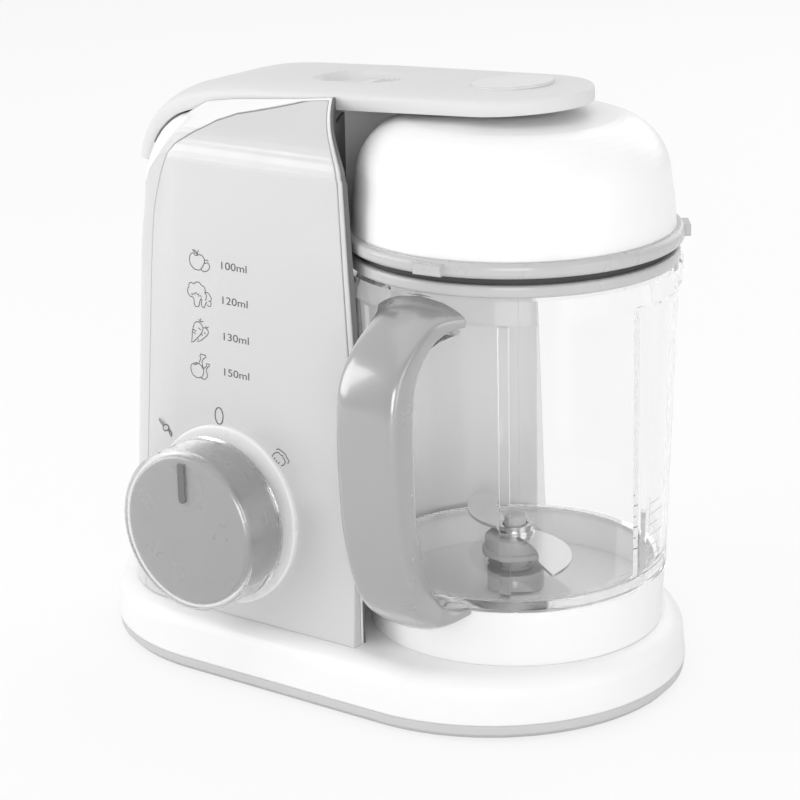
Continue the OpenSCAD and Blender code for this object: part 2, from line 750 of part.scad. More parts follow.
module filler_plug() {
    color("gray") at_boiler() translate([0, 0, filler_top]) {
        cylinder(d = filler_d - 0.4, h = 1.6);
        translate([0, 0, -7]) cylinder(d = filler_d - 4.1, h = 7);
    }
}

// A plate across the column that carries the cup by its rim
module boiler_bracket() {
    z = boiler_top - 1.2 - 2;
    color("silver") difference() {
        for (s = [-1, 1]) intersection() {
            column_solid(s < 0 ? panel_t + panel_fit + column_wall : column_wall);
            translate([filler_x - 25, s < 0 ? -100 : 0, z]) cube([50, 100, 2]);
        }
        at_boiler() translate([0, 0, z - 1]) cylinder(r = boiler_d / 2 + 0.2, h = 4);
    }
}

module thermostat() {
    color("black") at_boiler() {
        translate([0, 0, boiler_z - 13]) cylinder(r = 8, h = 9);
        translate([0, 0, boiler_z - 17]) cylinder(r = 5, h = 4);
    }
}

pipe_r = 4;
pipe_x = filler_x + boiler_d / 2 - 8;
pipe_z = boiler_top + 16;
pipe_turn = atan2(port_y, port_x - pipe_x);
pipe_run = sqrt(pow(port_x - pipe_x, 2) + pow(port_y, 2));
pipe_bore = pipe_r - 1.5;
module steam_pipe() {
    color("lightgray") difference() {
        union() {
            translate([pipe_x, 0, boiler_top + 11]) cylinder(r = pipe_r + 2, h = pipe_z + pipe_r + 1 - boiler_top - 11);
            translate([pipe_x, 0, pipe_z]) rotate([0, 90, pipe_turn]) cylinder(r = pipe_r, h = pipe_run);
            translate([port_x, port_y, pipe_z - pipe_r - 1])
                cylinder(r = port_r, h = arm_top_at(port_x - port_r, arm_t + gap) - pipe_z + pipe_r + 0.7);
        }
        translate([pipe_x, 0, boiler_top + 6]) cylinder(r = pipe_bore, h = pipe_z + pipe_bore - boiler_top - 6);
        translate([pipe_x, 0, pipe_z]) rotate([0, 90, pipe_turn]) cylinder(r = pipe_bore - 0.2, h = pipe_run);
        translate([port_x, port_y, pipe_z - pipe_bore]) cylinder(r = pipe_bore, h = 60);
    }
}

board_x = column_x + 2;
board_low = 116;
board_high = board_low + 40;
board_y = depth_at(board_high, column_wall) - 10;
module control_board() {
    color("darkgreen") translate([board_x - 32, board_y, board_low]) cube([64, 1.6, 40]);
    color("black") for (x = [-24, -6, 12]) translate([board_x + x, board_y - 12, board_low + 6]) cube([12, 12, 18]);
}

module board_posts() {
    color("whitesmoke") intersection() {
        for (x = [-28, 28], z = [board_low + 4, board_high - 4]) translate([board_x + x, board_y + 1.6, z])
            rotate([-90, 0, 0]) cylinder(r = 3, h = 40);
        column_solid(column_wall);
    }
}

module cord_inlet() {
    color("dimgray") translate([column_x, depth_at(inlet_z, column_wall) - 2.6, inlet_z]) rotate([-90, 0, 0]) difference() {
        union() {
            cylinder(r = 8, h = 2);
            cylinder(r = 6, h = column_wall + 5.2);
            translate([0, 0, column_wall + 3.2]) cylinder(r = 8, h = 2.5);
        }
        translate([0, 0, -1]) cylinder(r = 3.3, h = 20);
    }
}

// ---------------------------------------------------------------- steam arm
crown_r = (pow(arm_w / 2, 2) + pow(arm_crown, 2)) / (2 * arm_crown);

// The band between two lines under the arm's upper edge, cut to the arm's plan d inside its edge
module arm_band(top, bottom, d) {
    intersection() {
        translate([0, 100, 0]) rotate([90, 0, 0]) linear_extrude(200)
            polygon(concat(arm_line(top), reversed(arm_line(bottom))));
        linear_extrude(400) {
            translate([bowl_x, 0]) circle(r = arm_w / 2 - d);
            translate([-200, -arm_w / 2 + d]) square([200 + bowl_x, arm_w - 2 * d]);
        }
    }
}

// The crown: the arm's top is a wide cylinder that lies along its rising straight part
module under_crown(d) {
    translate([straight_x, 0, straight_z + arm_crown]) rotate([0, -arm_rise, 0])
        translate([-200, 0, -crown_r]) rotate([0, 90, 0]) cylinder(r = crown_r - d, h = 500, $fn = 192);
}

recess_x = bowl_x - 68;
recess_y = -8;
recess_floor = 3.4;
module recess_oval(grow, h) {
    for (s = [-1, 1]) translate([s * (recess_l - recess_w) / 2, 0, 0]) cylinder(r = recess_w / 2 + grow, h = h);
    translate([-(recess_l - recess_w) / 2, -recess_w / 2 - grow, 0]) cube([recess_l - recess_w, recess_w + 2 * grow, h]);
}
module at_recess(depth) {
    translate([recess_x, recess_y, arm_top_at(recess_x) + arm_crown]) rotate([0, -arm_rise, 0])
        translate([0, 0, -depth]) children();
}

// The latch: a slider in the recess, a neck through its floor, a bar and a tongue
neck_l = 4;
tongue_x = -16;
tongue_t = 3;
tongue_w = 6;
recess_base = 1.6;
bar_depth = recess_floor + recess_base + 0.3;
spring_from = neck_l - 1 + 0.2;
spring_to = 11.6;

module arm_cover() {
    color("gainsboro") difference() {
        union() {
            difference() {
                intersection() { arm_band(-arm_crown, arm_t, 0); under_crown(0); }
                intersection() { arm_band(-arm_crown, arm_t + 1, arm_wall); under_crown(arm_wall); arm_keep(); }
            }
            intersection() {
                arm_band(-arm_crown, arm_t - 1.7, 1);
                at_recess(recess_floor + recess_base) recess_oval(recess_base, 9);
                under_crown(0.5);
            }
            // Stop for the latch's spring, under the recess
            at_recess(bar_depth + 1.8) translate([spring_to, -3, 0]) cube([1.6, 6, 2.4]);
            for (s = [-1, 1]) translate([hinge_x, s * (ear_y + gap + arm_w / 2) / 2, hinge_z]) rotate([90, 0, 0])
                cylinder(r = knuckle_r, h = arm_w / 2 - ear_y - gap, center = true);
        }
        at_recess(recess_floor) recess_oval(0, 20);
        at_recess(recess_floor + 10) translate([-1 - latch_travel - 0.5, -3.1, 0]) cube([neck_l + latch_travel + 1, 6.2, 11]);
        at_cap(1.2) cylinder(d = cap_d + 0.2, h = 20);
        translate([hinge_x, arm_w / 2 + 1, hinge_z]) rotate([90, 0, 0]) cylinder(d = pin_d + 0.04, h = arm_w + 2);
        // Room for the column's middle knuckle
        translate([hinge_x, ear_y + gap, hinge_z]) rotate([90, 0, 0]) cylinder(r = knuckle_r + 0.6, h = 2 * (ear_y + gap));
    }
}

// Part of the arm that is hollow: the flat part, clear of the bend
module arm_keep() { translate([bend_x + 6, -100, 0]) cube([400, 200, 400]); }

module arm_underside() {
    color("whitesmoke") difference() {
        intersection() {
            arm_band(arm_t - 1.6, arm_t, arm_wall + 0.1);
            translate([0.2, 0, 0]) arm_keep();
        }
        at_nozzle() translate([0, 0, -20]) cylinder(r = nozzle_r, h = 40);
        translate([port_x, port_y, 200]) cylinder(r = 4, h = 60);
        at_recess(40) translate([tongue_x - latch_travel - 0.6, -tongue_w / 2 - 0.4, 0]) cube([tongue_t + latch_travel + 1.2, tongue_w + 0.8, 40]);
    }
}

module at_cap(depth) {
    translate([bowl_x, 0, arm_top_at(bowl_x) + arm_crown]) rotate([0, -arm_rise, 0])
        translate([0, 0, -depth]) children();
}
module arm_cap() { color("whitesmoke") at_cap(1.2) cylinder(d = cap_d, h = 1.2); }

// A flat steam channel inside the arm, from the column's port to the nozzle
duct_h = 3.2;
duct_w = 14;
duct_wall = 0.8;
module duct_plan(d) {
    length = (bowl_x - port_x) / cos(arm_rise);
    translate([-7 + d, port_y - duct_w / 2 + d]) square([length + 14 - 2 * d, duct_w - 2 * d]);
    translate([length - 7 + d, -6 + d]) square([14 - 2 * d, port_y + duct_w / 2 + 6 - 2 * d]);
}
module steam_duct() {
    length = (bowl_x - port_x) / cos(arm_rise);
    color("lightgray") translate([port_x, 0, arm_top_at(port_x, arm_t - 1.6)]) rotate([0, -arm_rise, 0]) difference() {
        linear_extrude(duct_h) duct_plan(0);
        translate([0, 0, duct_wall]) linear_extrude(duct_h - 2 * duct_wall) duct_plan(duct_wall);
        translate([0, port_y, -1]) cylinder(r = 3.8, h = 2.5);
        translate([length, 0, -1]) cylinder(r = 4.5, h = 2.5);
    }
}

nozzle_r = 9;
module at_nozzle() { translate([bowl_x, 0, arm_top_at(bowl_x, arm_t)]) children(); }
nozzle_low = dome_z + dome_h + 0.3;
module steam_nozzle() {
    color("dimgray") at_bowl() difference() {
        union() {
            translate([0, 0, nozzle_low]) cylinder(r = nozzle_r + 2.5, h = arm_top_at(bowl_x - 12, arm_t + 0.1) - nozzle_low);
            translate([0, 0, nozzle_low]) cylinder(r = nozzle_r - 0.1, h = arm_top_at(bowl_x - 9, arm_t - 1.6) - nozzle_low);
        }
        translate([0, 0, nozzle_low - 1]) cylinder(r = 4.5, h = 30);
    }
}

module hinge_pin() {
    color("silver") translate([hinge_x, arm_w / 2 - 1, hinge_z]) rotate([90, 0, 0]) cylinder(d = pin_d, h = arm_w - 2);
}

slider_l = 12;
slider_w = 17;
module latch_slider() {
    color("gainsboro") at_recess(recess_floor - 0.1) {
        translate([recess_l / 2 - 4.5 - slider_l, -slider_w / 2, 0]) cube([slider_l, slider_w, 1.6]);
        translate([-1, -slider_w / 2, 0]) cube([recess_l / 2 - 4.5 - slider_l + 2, slider_w, 1.6]);
        for (i = [0 : 3]) translate([recess_l / 2 - slider_l - 3.2 + i * 2.6, -slider_w / 2 + 1, 1.6])
            cube([1.2, slider_w - 2, 0.6]);
    }
    color("gainsboro") at_recess(bar_depth + 1) {
        translate([-1, -2.9, 0]) cube([neck_l, 5.8, bar_depth + 1 - recess_floor + 0.2]);
        translate([tongue_x, -tongue_w / 2, 0]) cube([neck_l - 1 - tongue_x, tongue_w, 1]);
    }
    color("gainsboro") at_recess(arm_t + arm_crown + 5) translate([tongue_x, -tongue_w / 2, 0])
        cube([tongue_t, tongue_w, arm_t + arm_crown + 4.5 - bar_depth]);
}

spring_turns = 5;
module latch_spring() {
    pitch = (spring_to - spring_from - 0.7) / spring_turns;
    color("silver") at_recess(bar_depth + 0.9) for (i = [0 : spring_turns])
        translate([spring_from + 0.25 + i * pitch, 0, 0]) rotate([0, 90, 0])
            rotate_extrude($fn = 32) translate([0.65, 0]) circle(r = 0.22, $fn = 16);
}

// ---------------------------------------------------------------- lid
dome_crown = 2.5;
// Dome profile, d inside its outer face
function dome_profile(d) =
    let (r = dome_shoulder_r - d, cx = dome_r - 2.2 - dome_shoulder_r, cz = dome_z + dome_h - dome_crown - dome_shoulder_r)
    concat([[0, dome_z - (d > 0 ? 1 : 0)], [dome_r - d, dome_z - (d > 0 ? 1 : 0)], [dome_r - 0.6 - d, dome_z + 9]],
        arc(cx, cz, r, 4, 82, 10), [[cx * 0.5, dome_z + dome_h - 0.7 - d], [0, dome_z + dome_h - d]]);

module dome_lid() {
    color("white") at_bowl() difference() {
        rotate_extrude($fn = 128) polygon(dome_profile(0));
        rotate_extrude($fn = 128) polygon(dome_profile(dome_wall));
        translate([0, 0, dome_z + 10]) cylinder(r = steam_hole_r, h = 60);
    }
}

tab_turn = 36;
module lid_flange() {
    color("darkgray") at_bowl() {
        rotate_extrude($fn = 128) polygon(concat(
            [[bowl_top_r - 6, flange_z], [flange_r - 2, flange_z]],
            arc(flange_r - 2, flange_z + 2, 2, -70, 0, 3), arc(flange_r - 2, dome_z - 2, 2, 0, 80, 3),
            [[dome_r - 0.8, dome_z], [bowl_top_r - 6, dome_z]]));
        for (a = [tab_turn, tab_turn - 120]) rotate(a) translate([flange_r - 1, -6, flange_z + 0.6]) cube([3, 12, flange_h - 1.4]);
    }
}

module lid_seal() {
    color("black") at_bowl() translate([0, 0, ring_top + 0.05]) ring(ring_r - 2.2, bowl_top_r - 6, seal_h - 0.05);
}

// ---------------------------------------------------------------- bowl
bowl_z = seat_top + 0.05;
floor_z = bowl_z + bowl_floor - 1;
boss_r = 12.9;
boss_low = dog_z + dog_h + 3;
plug_r = seat_lip_r - seat_wall - 0.3;

module bowl() {
    slope = (bowl_top_r - bowl_foot_r) / (bowl_h - collar_h);
    mouth_r = bowl_top_r - bowl_wall;
    color("lightcyan", 0.4) at_bowl() difference() {
        union() {
            rotate_extrude($fn = 128) polygon(concat(
                [[bush_r, boss_low], [boss_r, boss_low], [boss_r, floor_z - bowl_floor], [plug_r - 2, floor_z - bowl_floor]],
                [[plug_r - 1.5, bowl_z - 2.5], [plug_r, bowl_z - 2.5], [plug_r, bowl_z], [bowl_foot_r, bowl_z]],
                [[bowl_top_r, bowl_top - collar_h], [collar_r - 0.6, bowl_top - collar_h + 2], [collar_r, bowl_top - 3], [collar_r, bowl_top - 0.6]],
                [[ring_r - 3.4, bowl_top], [ring_r - 3.4, ring_top - 0.6], [mouth_r - 1, ring_top - 0.6], [mouth_r - 1, bowl_top - 2]],
                [[mouth_r, bowl_top - collar_h]],
                [[bowl_foot_r - bowl_wall + 5 * slope, floor_z + 6]],
                arc(bowl_foot_r - bowl_wall - 6, floor_z + 6, 6, 0, -90, 5),
                [[bush_r, floor_z]]));
            for (i = [0 : rib_count - 1]) rotate(360 / rib_count * i)
                intersection() {
                    translate([bowl_foot_r - bowl_wall - rib_depth, -rib_w / 2, floor_z - 1])
                        cube([12, rib_w, bowl_top - collar_h - floor_z]);
                    translate([0, 0, floor_z - 2]) cylinder(r1 = bowl_foot_r - 0.8, r2 = bowl_top_r - 0.8, h = bowl_h);
                }
        }
        translate([0, 0, boss_low - 1]) cylinder(r = bush_r + 0.02, h = 60);
    }
}

module bowl_ring() {
    color("darkgray") at_bowl() translate([0, 0, bowl_top]) rotate_extrude($fn = 128)
        polygon(concat([[ring_r - 3.3, 0.05], [ring_r - 1.2, 0.05]], arc(ring_r - 1.2, 1.25, 1.2, -80, 0, 3),
            arc(ring_r - 1.2, ring_h - 1.2, 1.2, 0, 90, 3), [[ring_r - 3.3, ring_h]]));
}

// Outline of the handle in the plane through the bowl's axis, d of it taken off all round.
// Its outer side bows out near the top and sweeps in under the bowl's foot.
grip_top = bowl_top - 6;
function grip_outer(d) = let (r = grip_reach, z = grip_top) concat(
    [[50, z - d]], arc(r - 33, z - 33, 33 - d, 90, 0, 8), arc(r - 180, z - 46, 180 - d, 0, -16, 5),
    arc(r - 64.6, seat_top + 42.3, 60 - d, -16, -55, 6),
    [[bowl_foot_r, seat_top - 14.4 + d * 1.2], [50, seat_top - 18.4 + d * 1.2]]);
function grip_inner() = let (r = grip_reach - grip_t, z = grip_top) concat(
    [[50, seat_top - 6.4], [r - 22, seat_top - 0.4]], arc(r - 41.4, seat_top + 30.1, 36, -50, -13.5, 5),
    arc(r - 230, z - 46, 230, -13.5, 0, 5),
    arc(r - 15, z - 29, 15, 0, 75, 6), [[50, z - 10]]);

// The space outside the bowl, its collar and its seat, c clear of them
module outside_bowl(c) {
    difference() {
        cylinder(r = 200, h = 400);
        translate([0, 0, bowl_z]) cylinder(r1 = bowl_foot_r + c, r2 = bowl_foot_r + c
            + (bowl_top_r - bowl_foot_r) / (bowl_h - collar_h) * 300, h = 300, $fn = 128);
        translate([0, 0, -1]) cylinder(r = seat_lip_r + 0.7, h = bowl_z + 1.5);
        translate([0, 0, bowl_top - collar_h - 0.2]) cylinder(r = collar_r + c, h = 100);
    }
}

// Plan of the handle, d inside its outer faces
module handle_plan(d) {
    w = grip_w / 2 - d;
    linear_extrude(400) polygon([[45, -w], [grip_reach - 7, -w], [grip_reach - 2, -w + 3], [grip_reach - d, -w + grip_flat],
        [grip_reach - d, w - grip_flat], [grip_reach - 2, w - 3], [grip_reach - 7, w], [45, w]]);
}
module at_handle() { at_bowl() rotate(grip_turn - 90) children(); }

core_inset = 3;
// The clear core fills the back of the grip, where the fingers close round it
module handle_cavity(c) {
    intersection() {
        slice_x(concat(grip_outer(core_inset + 4 - c), grip_inner()));
        translate([40, -grip_w / 2 + core_inset - c, 0]) cube([80, grip_w - 2 * core_inset + 2 * c, 300]);
        outside_bowl(0.02);
    }
}
module handle_grip() {
    color("darkgray") at_handle() difference() {
        intersection() {
            slice_x(concat(grip_outer(0), grip_inner()));
            handle_plan(0);
            outside_bowl(0.05);
        }
        handle_cavity(0.1);
    }
}
module handle_core() { color("lightcyan") at_handle() handle_cavity(0); }

// ---------------------------------------------------------------- blades
bush_r = shaft_d / 2 + 2.6;
spindle_r = shaft_d / 2;
blade_dog_r = 11.6;
hub_r = 12.4;
hub_z = floor_z + 0.6;
hub_h = 8;
spindle_top = floor_z + 18;

module blade_bush() {
    color("goldenrod") at_bowl() {
        translate([0, 0, boss_low]) ring(bush_r, spindle_r + run, floor_z - boss_low);
        translate([0, 0, floor_z]) ring(bush_r + 2, spindle_r + run, 0.5);
    }
}

// A cup under the bowl with three inner lugs that sit between the driving teeth
module blade_dog() {
    low = dog_z + 0.8;
    color("darkslategray") at_bowl() difference() {
        union() {
            translate([0, 0, low]) ring(blade_dog_r, dog_r + 0.4, boss_low - 0.3 - low);
            translate([0, 0, dog_z + dog_h + 0.4]) cylinder(r = blade_dog_r, h = boss_low - 0.3 - dog_z - dog_h - 0.4);
            for (a = [60 : 120 : 300]) rotate(a) translate([shaft_d / 2 + 2, -3, low]) cube([5, 6, dog_h]);
        }
        translate([0, 0, dog_z + dog_h]) cylinder(r = spindle_r + 0.02, h = 10);
    }
}

module blade_hub() {
    color("dimgray") at_bowl() {
        rotate_extrude() polygon([[0, hub_z], [hub_r + 1.2, hub_z], [hub_r + 1.2, hub_z + 2], [hub_r, hub_z + 2.6], [hub_r, hub_z + hub_h - 1],
            [hub_r - 1.2, hub_z + hub_h], [0, hub_z + hub_h]]);
        translate([0, 0, dog_z + dog_h + 0.4]) cylinder(r = spindle_r, h = hub_z - dog_z - dog_h);
        translate([0, 0, hub_z + hub_h]) cylinder(r1 = 5, r2 = 4.2, h = spindle_top - hub_z - hub_h - 1.4);
    }
}

// A sickle blade: the space between two arcs, from the hub to its tip
module sickle(reach, t) {
    linear_extrude(t) difference() {
        intersection() {
            translate([reach * 0.45, -reach * 0.42]) circle(r = reach * 0.69);
            translate([0, -4]) square([reach * 2, 60]);
        }
        translate([reach * 0.40, -reach * 0.78]) circle(r = reach * 0.78);
    }
}
blade_t = 1.2;
module blade_plate(reach) {
    difference() {
        union() {
            cylinder(r = 8, h = blade_t);
            difference() {
                sickle(reach, blade_t);
                translate([0, 0, -1]) cylinder(r = 7.9, h = 4);
            }
        }
        translate([0, 0, -1]) cylinder(r = 5.05, h = 4);
    }
}
module lower_blade() {
    color("silver") at_bowl() translate([0, 0, hub_z + hub_h]) rotate(-36) blade_plate(50);
}
module upper_blade() {
    color("silver") at_bowl() translate([0, 0, hub_z + hub_h + blade_t]) rotate(144) blade_plate(44);
}
module blade_nut() {
    color("dimgray") at_bowl() translate([0, 0, hub_z + hub_h + 2 * blade_t]) ring(7, 5.1, 2);
}

module row() { translate([base_shift, row_y, 0]) children(); }

row() base_shell();
row() base_rim();
row() bottom_cover();
row() rubber_feet();
row() bottom_screws();
row() bowl_seat();
row() seat_screws();
row() shaft_bush();
row() blade_shaft();
row() large_pulley();
row() drive_dog();
row() drive_belt();
row() small_pulley();
row() motor_shaft();
row() motor();
row() motor_bracket();
row() motor_mounts();
row() column_shell();
row() front_panel();
row() side_trim();
row() column_screws();
row() knob_bezel();
row() rotary_switch();
row() switch_shaft();
row() knob();
row() knob_pointer();
row() boiler_cup();
row() boiler_heater();
row() boiler_bracket();
row() boiler_gasket();
row() filler_neck();
row() filler_plug();
row() thermostat();
row() steam_pipe();
row() control_board();
row() board_posts();
row() cord_inlet();
row() arm_cover();
row() arm_underside();
row() arm_cap();
row() steam_duct();
row() steam_nozzle();
row() hinge_pin();
row() latch_slider();
row() latch_spring();
row() dome_lid();
row() lid_flange();
row() lid_seal();
row() bowl();
row() bowl_ring();
row() handle_core();
row() handle_grip();
row() blade_bush();
row() blade_hub();
row() upper_blade();
row() lower_blade();
row() blade_nut();
row() blade_dog();
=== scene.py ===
import bpy, bmesh, math
from mathutils import Matrix, Vector


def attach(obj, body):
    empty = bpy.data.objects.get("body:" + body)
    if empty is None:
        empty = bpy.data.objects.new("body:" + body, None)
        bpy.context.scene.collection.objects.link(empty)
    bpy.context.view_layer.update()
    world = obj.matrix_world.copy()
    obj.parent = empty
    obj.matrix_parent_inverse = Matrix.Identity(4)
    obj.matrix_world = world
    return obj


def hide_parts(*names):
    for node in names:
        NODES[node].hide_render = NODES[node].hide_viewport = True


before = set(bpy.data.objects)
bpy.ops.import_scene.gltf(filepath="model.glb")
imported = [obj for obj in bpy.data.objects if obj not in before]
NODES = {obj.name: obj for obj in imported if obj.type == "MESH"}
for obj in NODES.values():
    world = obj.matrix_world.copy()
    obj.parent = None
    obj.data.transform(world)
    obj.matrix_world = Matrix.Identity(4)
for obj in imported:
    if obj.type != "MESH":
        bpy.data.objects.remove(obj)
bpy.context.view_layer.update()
MM = 0.001

# Sizes that the solids have too, in mm and degrees, in the solids' own frame
ROW_X, ROW_Y = 4, 11.777  # the row moves the solids by this much
DECK_Z = 26.5
COLUMN_FRONT, FRONT_LEAN = 70.5, 3.2
BOWL_X, BOWL_Z = 58.5, 49.8
BOWL_FOOT_R, BOWL_TOP_R, BOWL_WALL_H = 61.8, 65.4, 116.6
KNOB_X, KNOB_Y, KNOB_Z = -38.5, -73.8, 70  # centre of the knob's back

# ---------------------------------------------------------------- camera
CAMERA_PLACE = (0.6219, -0.8207, 0.4336)
CAMERA_TURN, CAMERA_TILT, CAMERA_ROLL = 36.54, -17.47, -1.17
cam_data = bpy.data.cameras.new("camera")
cam_data.sensor_width = 36
cam_data.lens = 117.03
cam = bpy.data.objects.new("camera", cam_data)
bpy.context.scene.collection.objects.link(cam)
cam.matrix_world = (Matrix.Translation(CAMERA_PLACE)
                    @ Matrix.Rotation(math.radians(CAMERA_TURN), 4, "Z")
                    @ Matrix.Rotation(math.radians(90 + CAMERA_TILT), 4, "X")
                    @ Matrix.Rotation(math.radians(CAMERA_ROLL), 4, "Z"))
bpy.context.scene.camera = cam
bpy.context.scene.view_settings.view_transform = "Standard"


# ---------------------------------------------------------------- materials
class Nodes:
    """Shorthand for building one node material."""

    def __init__(self, name):
        self.mat = bpy.data.materials.new(name)
        self.mat.use_nodes = True
        self.tree = self.mat.node_tree
        self.bsdf = self.tree.nodes["Principled BSDF"]
        self.out = self.tree.nodes["Material Output"]

    def add(self, kind, **values):
        n = self.tree.nodes.new("ShaderNode" + kind)
        for k, v in values.items():
            if hasattr(n, k) and k not in n.inputs:
                setattr(n, k, v)
            else:
                n.inputs[k].default_value = v
        return n

    def link(self, a, b):
        self.tree.links.new(a, b)

    def math(self, operation, a, b):
        """A Math node; a is a socket, and b a socket or a number."""
        n = self.add("Math", operation=operation)
        self.link(a, n.inputs[0])
        if isinstance(b, (int, float)):
            n.inputs[1].default_value = b
        else:
            self.link(b, n.inputs[1])
        return n.outputs[0]

    def noise(self, scale, detail=3.0):
        coords = self.add("TexCoord")
        n = self.add("TexNoise", Scale=scale, Detail=detail)
        self.link(coords.outputs["Object"], n.inputs["Vector"])
        return n.outputs["Fac"]

    def ramp(self, fac, a, b):
        r = self.add("ValToRGB")
        r.color_ramp.interpolation = "EASE"
        first, last = r.color_ramp.elements
        first.position, last.position = 0.2, 0.8
        first.color, last.color = a, b
        self.link(fac, r.inputs["Fac"])
        return r.outputs["Color"]

    def spread(self, fac, low, high, from_low=0.3, from_high=0.7, interpolation="LINEAR"):
        m = self.add("MapRange", interpolation_type=interpolation)
        m.inputs["From Min"].default_value, m.inputs["From Max"].default_value = from_low, from_high
        m.inputs["To Min"].default_value, m.inputs["To Max"].default_value = low, high
        self.link(fac, m.inputs["Value"])
        return m.outputs["Result"]


def grey(v, tint=(1, 1, 1)):
    return (v * tint[0], v * tint[1], v * tint[2], 1)


# Scales of the noise for colour and for gloss, per metre
PATCHES, SHEEN = 9, 60


def moulded(name, value, rough=0.4, tint=(1, 1, 1), vary=0.03, grain=1400, bump=0.06, edge=0.6,
            metallic=0.0, coat=0.0, transmission=0.0, ior=1.49):
    """A plastic, rubber or metal finish: faint colour variation, uneven gloss, a fine surface and
    edges softened by edge mm."""
    m = Nodes(name)
    p = m.bsdf
    dark, light = grey(value * (1 - vary), tint), grey(min(value * (1 + vary), 1), tint)
    m.link(m.ramp(m.noise(PATCHES), dark, light), p.inputs["Base Color"])
    m.link(m.spread(m.noise(SHEEN), rough * 0.85, rough * 1.15), p.inputs["Roughness"])
    p.inputs["Metallic"].default_value = metallic
    p.inputs["IOR"].default_value = ior
    p.inputs["Coat Weight"].default_value = coat
    p.inputs["Coat Roughness"].default_value = 0.08
    p.inputs["Transmission Weight"].default_value = transmission
    b = m.add("Bump", Strength=bump, Distance=0.00005)
    m.link(m.noise(grain, 2), b.inputs["Height"])
    if edge:
        bevel = m.add("Bevel", samples=4, Radius=edge * MM)
        m.link(bevel.outputs["Normal"], b.inputs["Normal"])
    m.link(b.outputs["Normal"], p.inputs["Normal"])
    return m


# A ray that has bent more often than this goes straight on, and isn't lost in a clear wall
BENDS = 3.5


def see_through(name, value, rough, ior=1.49, coat=0.0):
    """Clear plastic. Light that travels towards other surfaces passes straight through it."""
    m = moulded(name, value, rough, vary=0.004, bump=0.01, transmission=1.0, edge=0.0, ior=ior, coat=coat)
    path = m.add("LightPath")
    passing = m.math("MAXIMUM", path.outputs["Is Shadow Ray"], path.outputs["Is Diffuse Ray"])
    late = m.math("GREATER_THAN", path.outputs["Ray Depth"], BENDS)
    clear = m.add("BsdfTransparent", Color=grey(value ** 0.5))
    mix = m.add("MixShader")
    m.link(m.math("MAXIMUM", passing, late), mix.inputs["Fac"])
    m.link(m.bsdf.outputs[0], mix.inputs[1])
    m.link(clear.outputs[0], mix.inputs[2])
    m.link(mix.outputs[0], m.out.inputs["Surface"])
    return m


PEARL = 0.645


def two_tone(name):
    """The column's shell: pearl where it faces the front, white elsewhere."""
    m = moulded(name, 0.88, 0.36, edge=1.2, coat=0.2)
    coords = m.add("TexCoord")
    normal, spot = m.add("SeparateXYZ"), m.add("SeparateXYZ")
    m.link(coords.outputs["Normal"], normal.inputs[0])
    m.link(coords.outputs["Object"], spot.inputs[0])
    facing = m.spread(normal.outputs["Y"], 0, 1, -0.35, -0.9, "SMOOTHSTEP")
    near = m.spread(spot.outputs["Y"], 0, 1, -0.03, -0.036, "SMOOTHSTEP")
    mix = m.add("Mix", data_type="RGBA")
    mix.inputs["B"].default_value = grey(PEARL)
    m.link(m.math("MULTIPLY", facing, near), mix.inputs["Factor"])
    m.link(m.bsdf.inputs["Base Color"].links[0].from_socket, mix.inputs["A"])
    m.link(mix.outputs["Result"], m.bsdf.inputs["Base Color"])
    return m


white = moulded("white_shell", 0.88, 0.34, edge=1.2, coat=0.15).mat
panel = moulded("panel_pearl", PEARL, 0.38, edge=1.0, coat=0.2, metallic=0.15, grain=2600, bump=0.1).mat
column_mat = two_tone("column_two_tone").mat
arm_mat = moulded("arm_matt", 0.70, 0.5, edge=0.0).mat
arm_cap_mat = moulded("arm_cap", 0.74, 0.42, edge=0.8).mat
dome_mat = moulded("dome_white", 0.9, 0.34, edge=1.2, coat=0.2).mat
flange_mat = moulded("flange_grey", 0.52, 0.3, edge=0.8, coat=0.4).mat
rim_mat = moulded("rim_grey", 0.6, 0.42, edge=0.8).mat
cover_mat = moulded("cover_plastic", 0.5, 0.5).mat
rubber_mat = moulded("rubber", 0.06, 0.8, bump=0.3, edge=0.3).mat
steel_mat = moulded("steel", 0.62, 0.25, metallic=1.0, edge=0.2).mat
blade_mat = moulded("blade_steel", 0.72, 0.18, metallic=1.0, edge=0.15, grain=600).mat
bronze_mat = moulded("bronze", 0.42, 0.4, tint=(1.25, 0.95, 0.6), metallic=1.0, edge=0.2).mat
black_mat = moulded("black_plastic", 0.035, 0.5, edge=0.4).mat
motor_mat = moulded("motor_steel", 0.5, 0.32, metallic=0.9, edge=0.5).mat
# Painted shade: the strip beside the panel's right edge is coloured dark grey in place of the shadow in the
# nook's gap
nook_shade_mat = moulded("trim_grey", 0.12, 0.4, edge=0.3).mat
bezel_mat = moulded("bezel_grey", 0.84, 0.3, edge=0.8, coat=0.3).mat
knob_mat = moulded("knob_smoke", 0.37, 0.3, edge=1.5, coat=0.2, metallic=0.3, vary=0.01).mat
pointer_mat = moulded("pointer", 0.16, 0.25, edge=0.3).mat
silicone_mat = moulded("silicone", 0.05, 0.6, edge=0.4).mat
board_mat = moulded("board_green", 0.14, 0.45, tint=(0.4, 1.2, 0.5), edge=0.2).mat
grip_mat = moulded("grip_grey", 0.38, 0.24, edge=0.0, coat=0.9, metallic=0.35, vary=0.01).mat
hub_mat = moulded("hub_grey", 0.5, 0.35, edge=0.6).mat
ink = moulded("printed_ink", 0.10, 0.5, edge=0.0, bump=0.02).mat
frost = moulded("frosted_mark", 0.62, 0.5, edge=0.0, bump=0.02).mat
clear_mat = see_through("clear_bowl", 0.99, 0.02, 1.13, coat=0.35).mat
clear2_mat = see_through("handle_clear", 0.98, 0.04, 1.2, coat=0.4).mat
smoke = see_through("knob_shell_smoke", 0.9, 0.05, coat=0.3).mat

